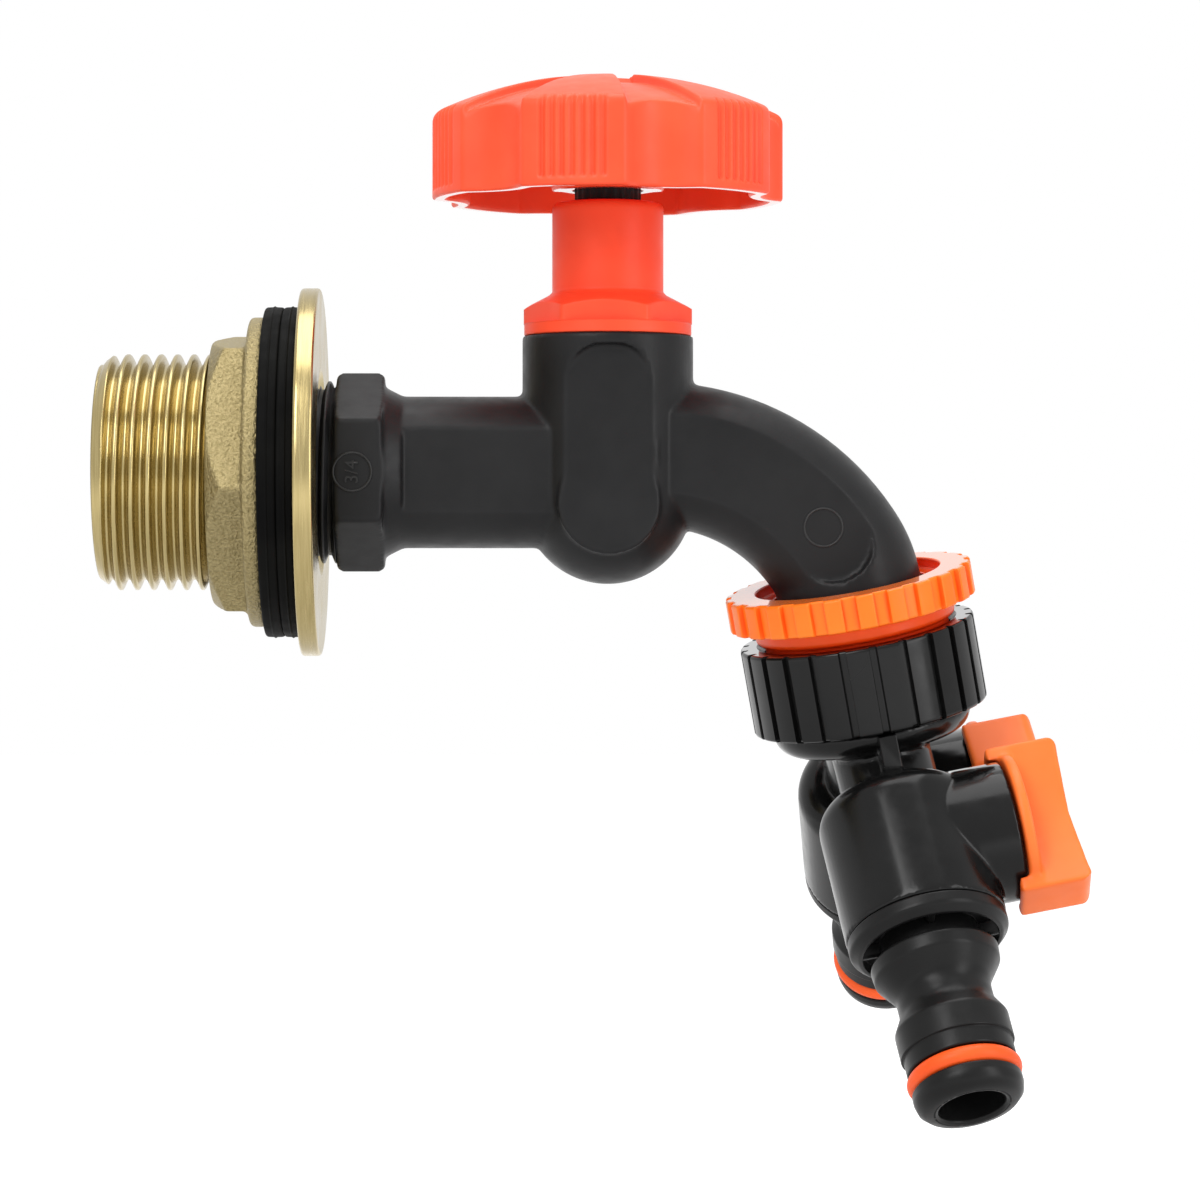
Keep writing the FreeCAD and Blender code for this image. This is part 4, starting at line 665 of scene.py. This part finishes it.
def make_bonnet():
    """Flange, hexagon and neck in one moulding."""
    skirt_r, skirt_low, flange_r, flange_low, flange_top = 8.9, 10.6, 11.8, 19.2, 20.9
    corner_r, hex_low, cone_low, cone_top, hex_round = 12.0, 20.92, 23.0, 24.9, 0.35
    neck_foot, neck_r, neck_low, neck_top = 8.35, 7.85, 25.4, 38.0
    bore_r, thread_r, thread_top = 4.75, 5.65, 21.5
    half_flats = corner_r * math.cos(math.pi / 6)
    hex_turn, pitch = -3.4, math.pi / 3
    flat_turn = math.radians(hex_turn + 30)
    cone = [(r, cone_low + (cone_top - cone_low) * (corner_r - r) / (corner_r - neck_foot))
            for r in np.linspace(corner_r - 0.1, neck_foot + 0.7, 16)]
    profile = rounded([
        (thread_r, skirt_low), (skirt_r, skirt_low, 0.3), (skirt_r, flange_low, 0.05),
        (flange_r, flange_low, 0.25), (flange_r, flange_top, 0.25), (corner_r, hex_low, 0.01),
        (corner_r, cone_low, 0.05), *cone, (neck_foot, cone_top, 0.4), (neck_r, neck_low, 0.4),
        (neck_r, neck_top, 0.9), (bore_r, neck_top, 0.3), (bore_r, thread_top), (thread_r, thread_top),
    ])

    def cut_hexagon(angle, radius, height):
        flat = half_flats / np.cos((angle - flat_turn + pitch / 2) % pitch - pitch / 2)
        on_hexagon = (height > hex_low - 0.01) & (radius > neck_foot + 0.5)
        return np.where(on_hexagon, soft_min(radius, flat, hex_round), radius), height

    mesh = lathe_mesh("bonnet_moulded", profile, chamber_frame, segments=240, shape=cut_hexagon)
    add_piece("bonnet_moulded", mesh, bonnet_red, "tap", ["bonnet"], crisp=40)


def make_spindle():
    """Dark spindle, splined where it enters the handwheel."""
    foot, thread_r, thread_top, shaft_r, top = 5.1, 5.6, 16.0, 4.7, 49.45
    groove_r, groove_low, groove_top = 3.25, 31.25, 32.75
    screw_r, screw_low, tip_r, tip_top, tip_low = 2.0, 38.0, 1.0, 37.5, 14.0
    socket_r, socket_top = 2.65, 13.05
    splines, spline_depth, spline_low, spline_inner_r = 20, 0.4, 36.0, 4
    profile = rounded([
        (socket_r, foot), (thread_r, foot, 0.3), (thread_r, thread_top, 0.3), (shaft_r, thread_top, 0.1),
        (shaft_r, groove_low, 0.05), (groove_r, groove_low, 0.05), (groove_r, groove_top, 0.05),
        (shaft_r, groove_top, 0.05), (shaft_r, spline_low, 0.05), (shaft_r, top, 0.3), (screw_r, top, 0.1),
        (screw_r, screw_low, 0.1), (tip_r, tip_top, 0.1), (tip_r, tip_low, 0.1), (socket_r, socket_top, 0.1),
    ])

    def cut_splines(angle, radius, height):
        cut = spline_depth * bump_pulse(angle, splines, half_width=4.5, edge=4)
        splined = (height > spline_low + 0.1) & (radius > spline_inner_r)
        return radius - np.where(splined, cut, 0), height

    mesh = lathe_mesh("spindle_splined", profile, chamber_frame, segments=240, shape=cut_splines)
    add_piece("spindle_splined", mesh, dark_plastic, "handwheel", ["spindle"])


make_handwheel()
make_bonnet()
make_spindle()


# Reducer, swivel nut and nipples

def make_reducer():
    """Toothed reducer ring, with its top face at height zero."""
    ring_r, ring_low, bead_r, bead_low, thread_r, foot = 16.8, -4.8, 14.2, -7.2, 13.1, -13.4
    mouth_r, mouth_floor, socket_r, socket_floor, bore_r = 13.15, -1.5, 10.9, -11.9, 7.5
    teeth, tooth_high, tooth_fade = 24, 0.7, 0.5
    profile = rounded([
        (bore_r, foot), (thread_r, foot, 0.4), (thread_r, bead_low, 0.3), (bead_r, bead_low, 0.8),
        (bead_r, ring_low, 0.7), (ring_r, ring_low, 0.3), (ring_r, 0.0, 0.3), (mouth_r, 0.0, 0.25),
        (mouth_r, mouth_floor, 0.2), (socket_r, mouth_floor, 0.2), (socket_r, socket_floor),
        (bore_r, socket_floor),
    ])

    def add_teeth(angle, radius, height):
        tooth = tooth_high * bump_pulse(angle, teeth, half_width=4.1, edge=0.4)
        return radius + tooth * np.clip((radius - ring_r + tooth_fade) / tooth_fade, 0, 1), height

    mesh = lathe_mesh("reducer_ring_moulded", profile, group_frame, segments=720, shape=add_teeth)
    add_piece("reducer_ring_moulded", mesh, reducer_orange, "tap", ["reducer_ring"], crisp=38)


def make_swivel_nut():
    """Swivel nut with narrow slots round it."""
    outer_r, bottom, top, mouth_r = 16.65, -19.8, -7.5, 14.3
    thread_r, thread_top, shoulder, hole_r = 13.25, -8.5, -17.6, 11.9
    slot_count, slot_depth, slot_inner_r, slot_fade = 24, 0.72, 15.2, 0.8
    profile = rounded([
        (hole_r, bottom, 0.2), (outer_r, bottom, 0.45), (outer_r, top, 0.4), (mouth_r, top, 0.2),
        (thread_r, thread_top, 0.2), (thread_r, shoulder), (hole_r, shoulder),
    ])

    def cut_slots(angle, radius, height):
        cut = slot_depth * bump_pulse(angle, slot_count, half_width=1.75, edge=0.4)
        return radius - cut * np.clip((radius - slot_inner_r) / slot_fade, 0, 1), height

    mesh = lathe_mesh("swivel_nut_moulded", profile, group_frame, segments=720, shape=cut_slots)
    add_piece("swivel_nut_moulded", mesh, gloss_black, "tap", ["swivel_nut"], crisp=38)


# Both legs have the same nipple. Its heights, and the O-ring's, are from the seam at the end of the barrel.
SEAM = -12.6
ORING_GROOVE = (-24.0, -21.3)


def make_nipple(side):
    """Quick connect nipple with a plug that enters the barrel, webs under its plate, collar and head."""
    bore_r, plug_r, plug_top, end, head_r = 4.6, 8.5, 6.6, -27.4, 7.6
    groove_r, (groove_low, groove_top) = 5.3, ORING_GROOVE
    land_r, collar_r, collar_low, collar_top = 7.55, 7.9, -18.8, -15.0
    waist_r, waist_low, waist_top = 6.6, -12.6, -9.8
    cup_low_r, cup_low, cup_r, cup_top = 8.8, -6.6, 9.0, -4.4
    stem_r, plate, step_height = 7.0, -1.0, -3.0
    skirt_r, skirt_low, skirt_foot_r, rim_r, rim_low, rim_top = 9.6, -2.8, 10.1, 11.2, -1.7, -0.05
    webs, web_depth = 4, 1.6
    section = [
        (bore_r, plug_top), (bore_r, end, 0.5), (head_r, end, 2.2), (head_r, groove_low, 0.25),
        (groove_r, groove_low, 0.2), (groove_r, groove_top, 0.2), (land_r, groove_top, 0.25),
        (land_r, collar_low, 0.25), (collar_r, collar_low, 0.3), (collar_r, collar_top, 1.0),
        (waist_r, waist_low, 2.5), (waist_r, waist_top, 3.0), (cup_low_r, cup_low, 0.9),
        (cup_r, cup_top, 0.5), (stem_r, cup_top, 0.3), (stem_r, step_height, 0.1), (stem_r, plate, 0.1),
        (stem_r + 0.1, plate, 0.01), (skirt_r - 0.1, plate, 0.01), (skirt_r, plate, 0.1),
        (skirt_r, skirt_low, 0.2), (skirt_foot_r, skirt_low, 0.5), (rim_r, rim_low, 0.8),
        (rim_r, rim_top, 0.2), (plug_r, rim_top, 0.1), (plug_r, plug_top, 0.3),
    ]
    profile = rounded([(r, z + SEAM, *fillet) for r, z, *fillet in section])

    def add_webs(angle, radius, height):
        web = web_depth * bump_pulse(angle, webs, half_width=4.6, edge=1.5)
        at_plate = np.abs(height - SEAM - plate) < 0.12
        between = (radius > stem_r + 0.02) & (radius < skirt_r - 0.02)
        return radius, height - np.where(at_plate & between, web, 0)

    mesh = lathe_mesh(f"nipple_{side}_moulded", profile, leg_frames[side], segments=168, shape=add_webs)
    add_piece(f"nipple_{side}_moulded", mesh, nipple_black, "tap", [f"nipple_{side}"])


def make_nipple_oring(side):
    """O-ring in the middle of the nipple's groove."""
    ring_r, half_thick = 6.66, 1.29
    section = circle_section(ring_r, SEAM + sum(ORING_GROOVE) / 2, half_thick, half_thick, count=24)
    mesh = lathe_mesh(f"nipple_oring_{side}_moulded", section, leg_frames[side], segments=128)
    add_piece(f"nipple_oring_{side}_moulded", mesh, ring_orange, "tap", [f"nipple_oring_{side}"])


make_reducer()
make_swivel_nut()
for side in SIDES:
    make_nipple(side)
    make_nipple_oring(side)


# Nodes that keep their CAD shape

plain_materials = {
    "bonnet_seal": rubber_black, "spindle_oring": rubber_black, "valve_washer": rubber_black,
    "reducer_seal": rubber_black, "nut_seal": rubber_black, "jumper": brass_turned,
    "handle_screw": steel, "washer_screw": steel,
}
leg_materials = {
    "stem_oring": rubber_black, "ball": dark_plastic, "stem": dark_plastic,
    "upper_ball_seat": seat_white, "lower_ball_seat": seat_white,
}
for name, material in leg_materials.items():
    for side in SIDES:
        plain_materials[f"{name}_{side}"] = material
for name, material in plain_materials.items():
    nodes[name].data.materials.clear()
    nodes[name].data.materials.append(material)


# Floor, light and camera, in metres

def seen_rays(tree):
    """One on camera, mirror and transmitted rays, so that the background looks the same in all three."""
    path = tree.nodes.new("ShaderNodeLightPath")
    value = path.outputs["Is Camera Ray"]
    for name in ("Is Glossy Ray", "Is Transmission Ray"):
        either = tree.nodes.new("ShaderNodeMath")
        either.operation = "MAXIMUM"
        tree.links.new(value, either.inputs[0])
        tree.links.new(path.outputs[name], either.inputs[1])
        value = either.outputs[0]
    return value


def make_stage():
    """Pale floor that takes the tap's shadow, and glows to the background's white further out."""
    half_size, below_tap = 3.0, 0.06
    glow_near, glow_far, glow_strength = 0.2, 0.45, 0.6
    low_corner, _ = cad_box
    mesh = bpy.data.meshes.new("floor")
    corners = [(x * half_size, y * half_size, 0) for x, y in ((-1, -1), (1, -1), (1, 1), (-1, 1))]
    mesh.from_pydata(corners, [], [(0, 1, 2, 3)])
    floor = bpy.data.objects.new("floor", mesh)
    floor.location.z = low_corner[2] - below_tap
    bpy.context.scene.collection.objects.link(floor)
    material, tree, shader = new_material("floor_white", (0.86, 0.86, 0.86), 0.7)
    shader.inputs["Specular IOR Level"].default_value = 0.0
    place = tree.nodes.new("ShaderNodeTexCoord")
    distance = tree.nodes.new("ShaderNodeVectorMath")
    distance.operation = "LENGTH"
    tree.links.new(place.outputs["Object"], distance.inputs[0])
    far_out = ramp(tree, distance.outputs["Value"], glow_near, glow_far, 0, glow_strength)
    glow = tree.nodes.new("ShaderNodeEmission")
    tree.links.new(product(tree, far_out, seen_rays(tree)), glow.inputs["Strength"])
    total = tree.nodes.new("ShaderNodeAddShader")
    tree.links.new(shader.outputs["BSDF"], total.inputs[0])
    tree.links.new(glow.outputs["Emission"], total.inputs[1])
    tree.links.new(total.outputs[0], tree.nodes["Material Output"].inputs["Surface"])
    mesh.materials.append(material)


def make_world():
    """White surroundings that look brighter than they light."""
    lit, seen = 0.5, 1.0
    world = bpy.data.worlds.new("studio")
    bpy.context.scene.world = world
    world.use_nodes = True
    tree = world.node_tree
    background = tree.nodes["Background"]
    background.inputs["Color"].default_value = (1, 1, 1, 1)
    tree.links.new(ramp(tree, seen_rays(tree), 0, 1, lit, seen), background.inputs["Strength"])


def place_facing(thing, location, target):
    """Put a lamp or camera at a place and turn it to a target."""
    thing.location = location
    thing.rotation_euler = (Vector(target) - thing.location).to_track_quat("-Z", "Y").to_euler()
    bpy.context.scene.collection.objects.link(thing)


def add_area(name, location, size, power):
    """Rectangular lamp turned to the middle of the tap."""
    middle = (0.044, 0, -0.018)
    light = bpy.data.lights.new(name, "AREA")
    light.shape = "RECTANGLE"
    light.size, light.size_y = size
    light.energy = power
    place_facing(bpy.data.objects.new(name, light), location, middle)


def make_camera():
    """Camera almost square to the tap's side, as in the photograph."""
    camera_data = bpy.data.cameras.new("camera")
    camera_data.lens = 127.5
    camera_data.sensor_width = 36
    camera = bpy.data.objects.new("camera", camera_data)
    place_facing(camera, location=(0.036, -0.6, -0.018), target=(0.0444, 0, -0.018))
    bpy.context.scene.camera = camera
    bpy.context.scene.view_settings.view_transform = "Standard"


make_stage()
make_world()
add_area("key", location=(-0.35, -0.75, 0.55), size=(0.4, 0.6), power=5)
add_area("fill", location=(0.75, -0.55, 0.2), size=(0.3, 0.8), power=3)
add_area("top", location=(0.05, 0.0, 0.8), size=(0.7, 0.7), power=5)
make_camera()
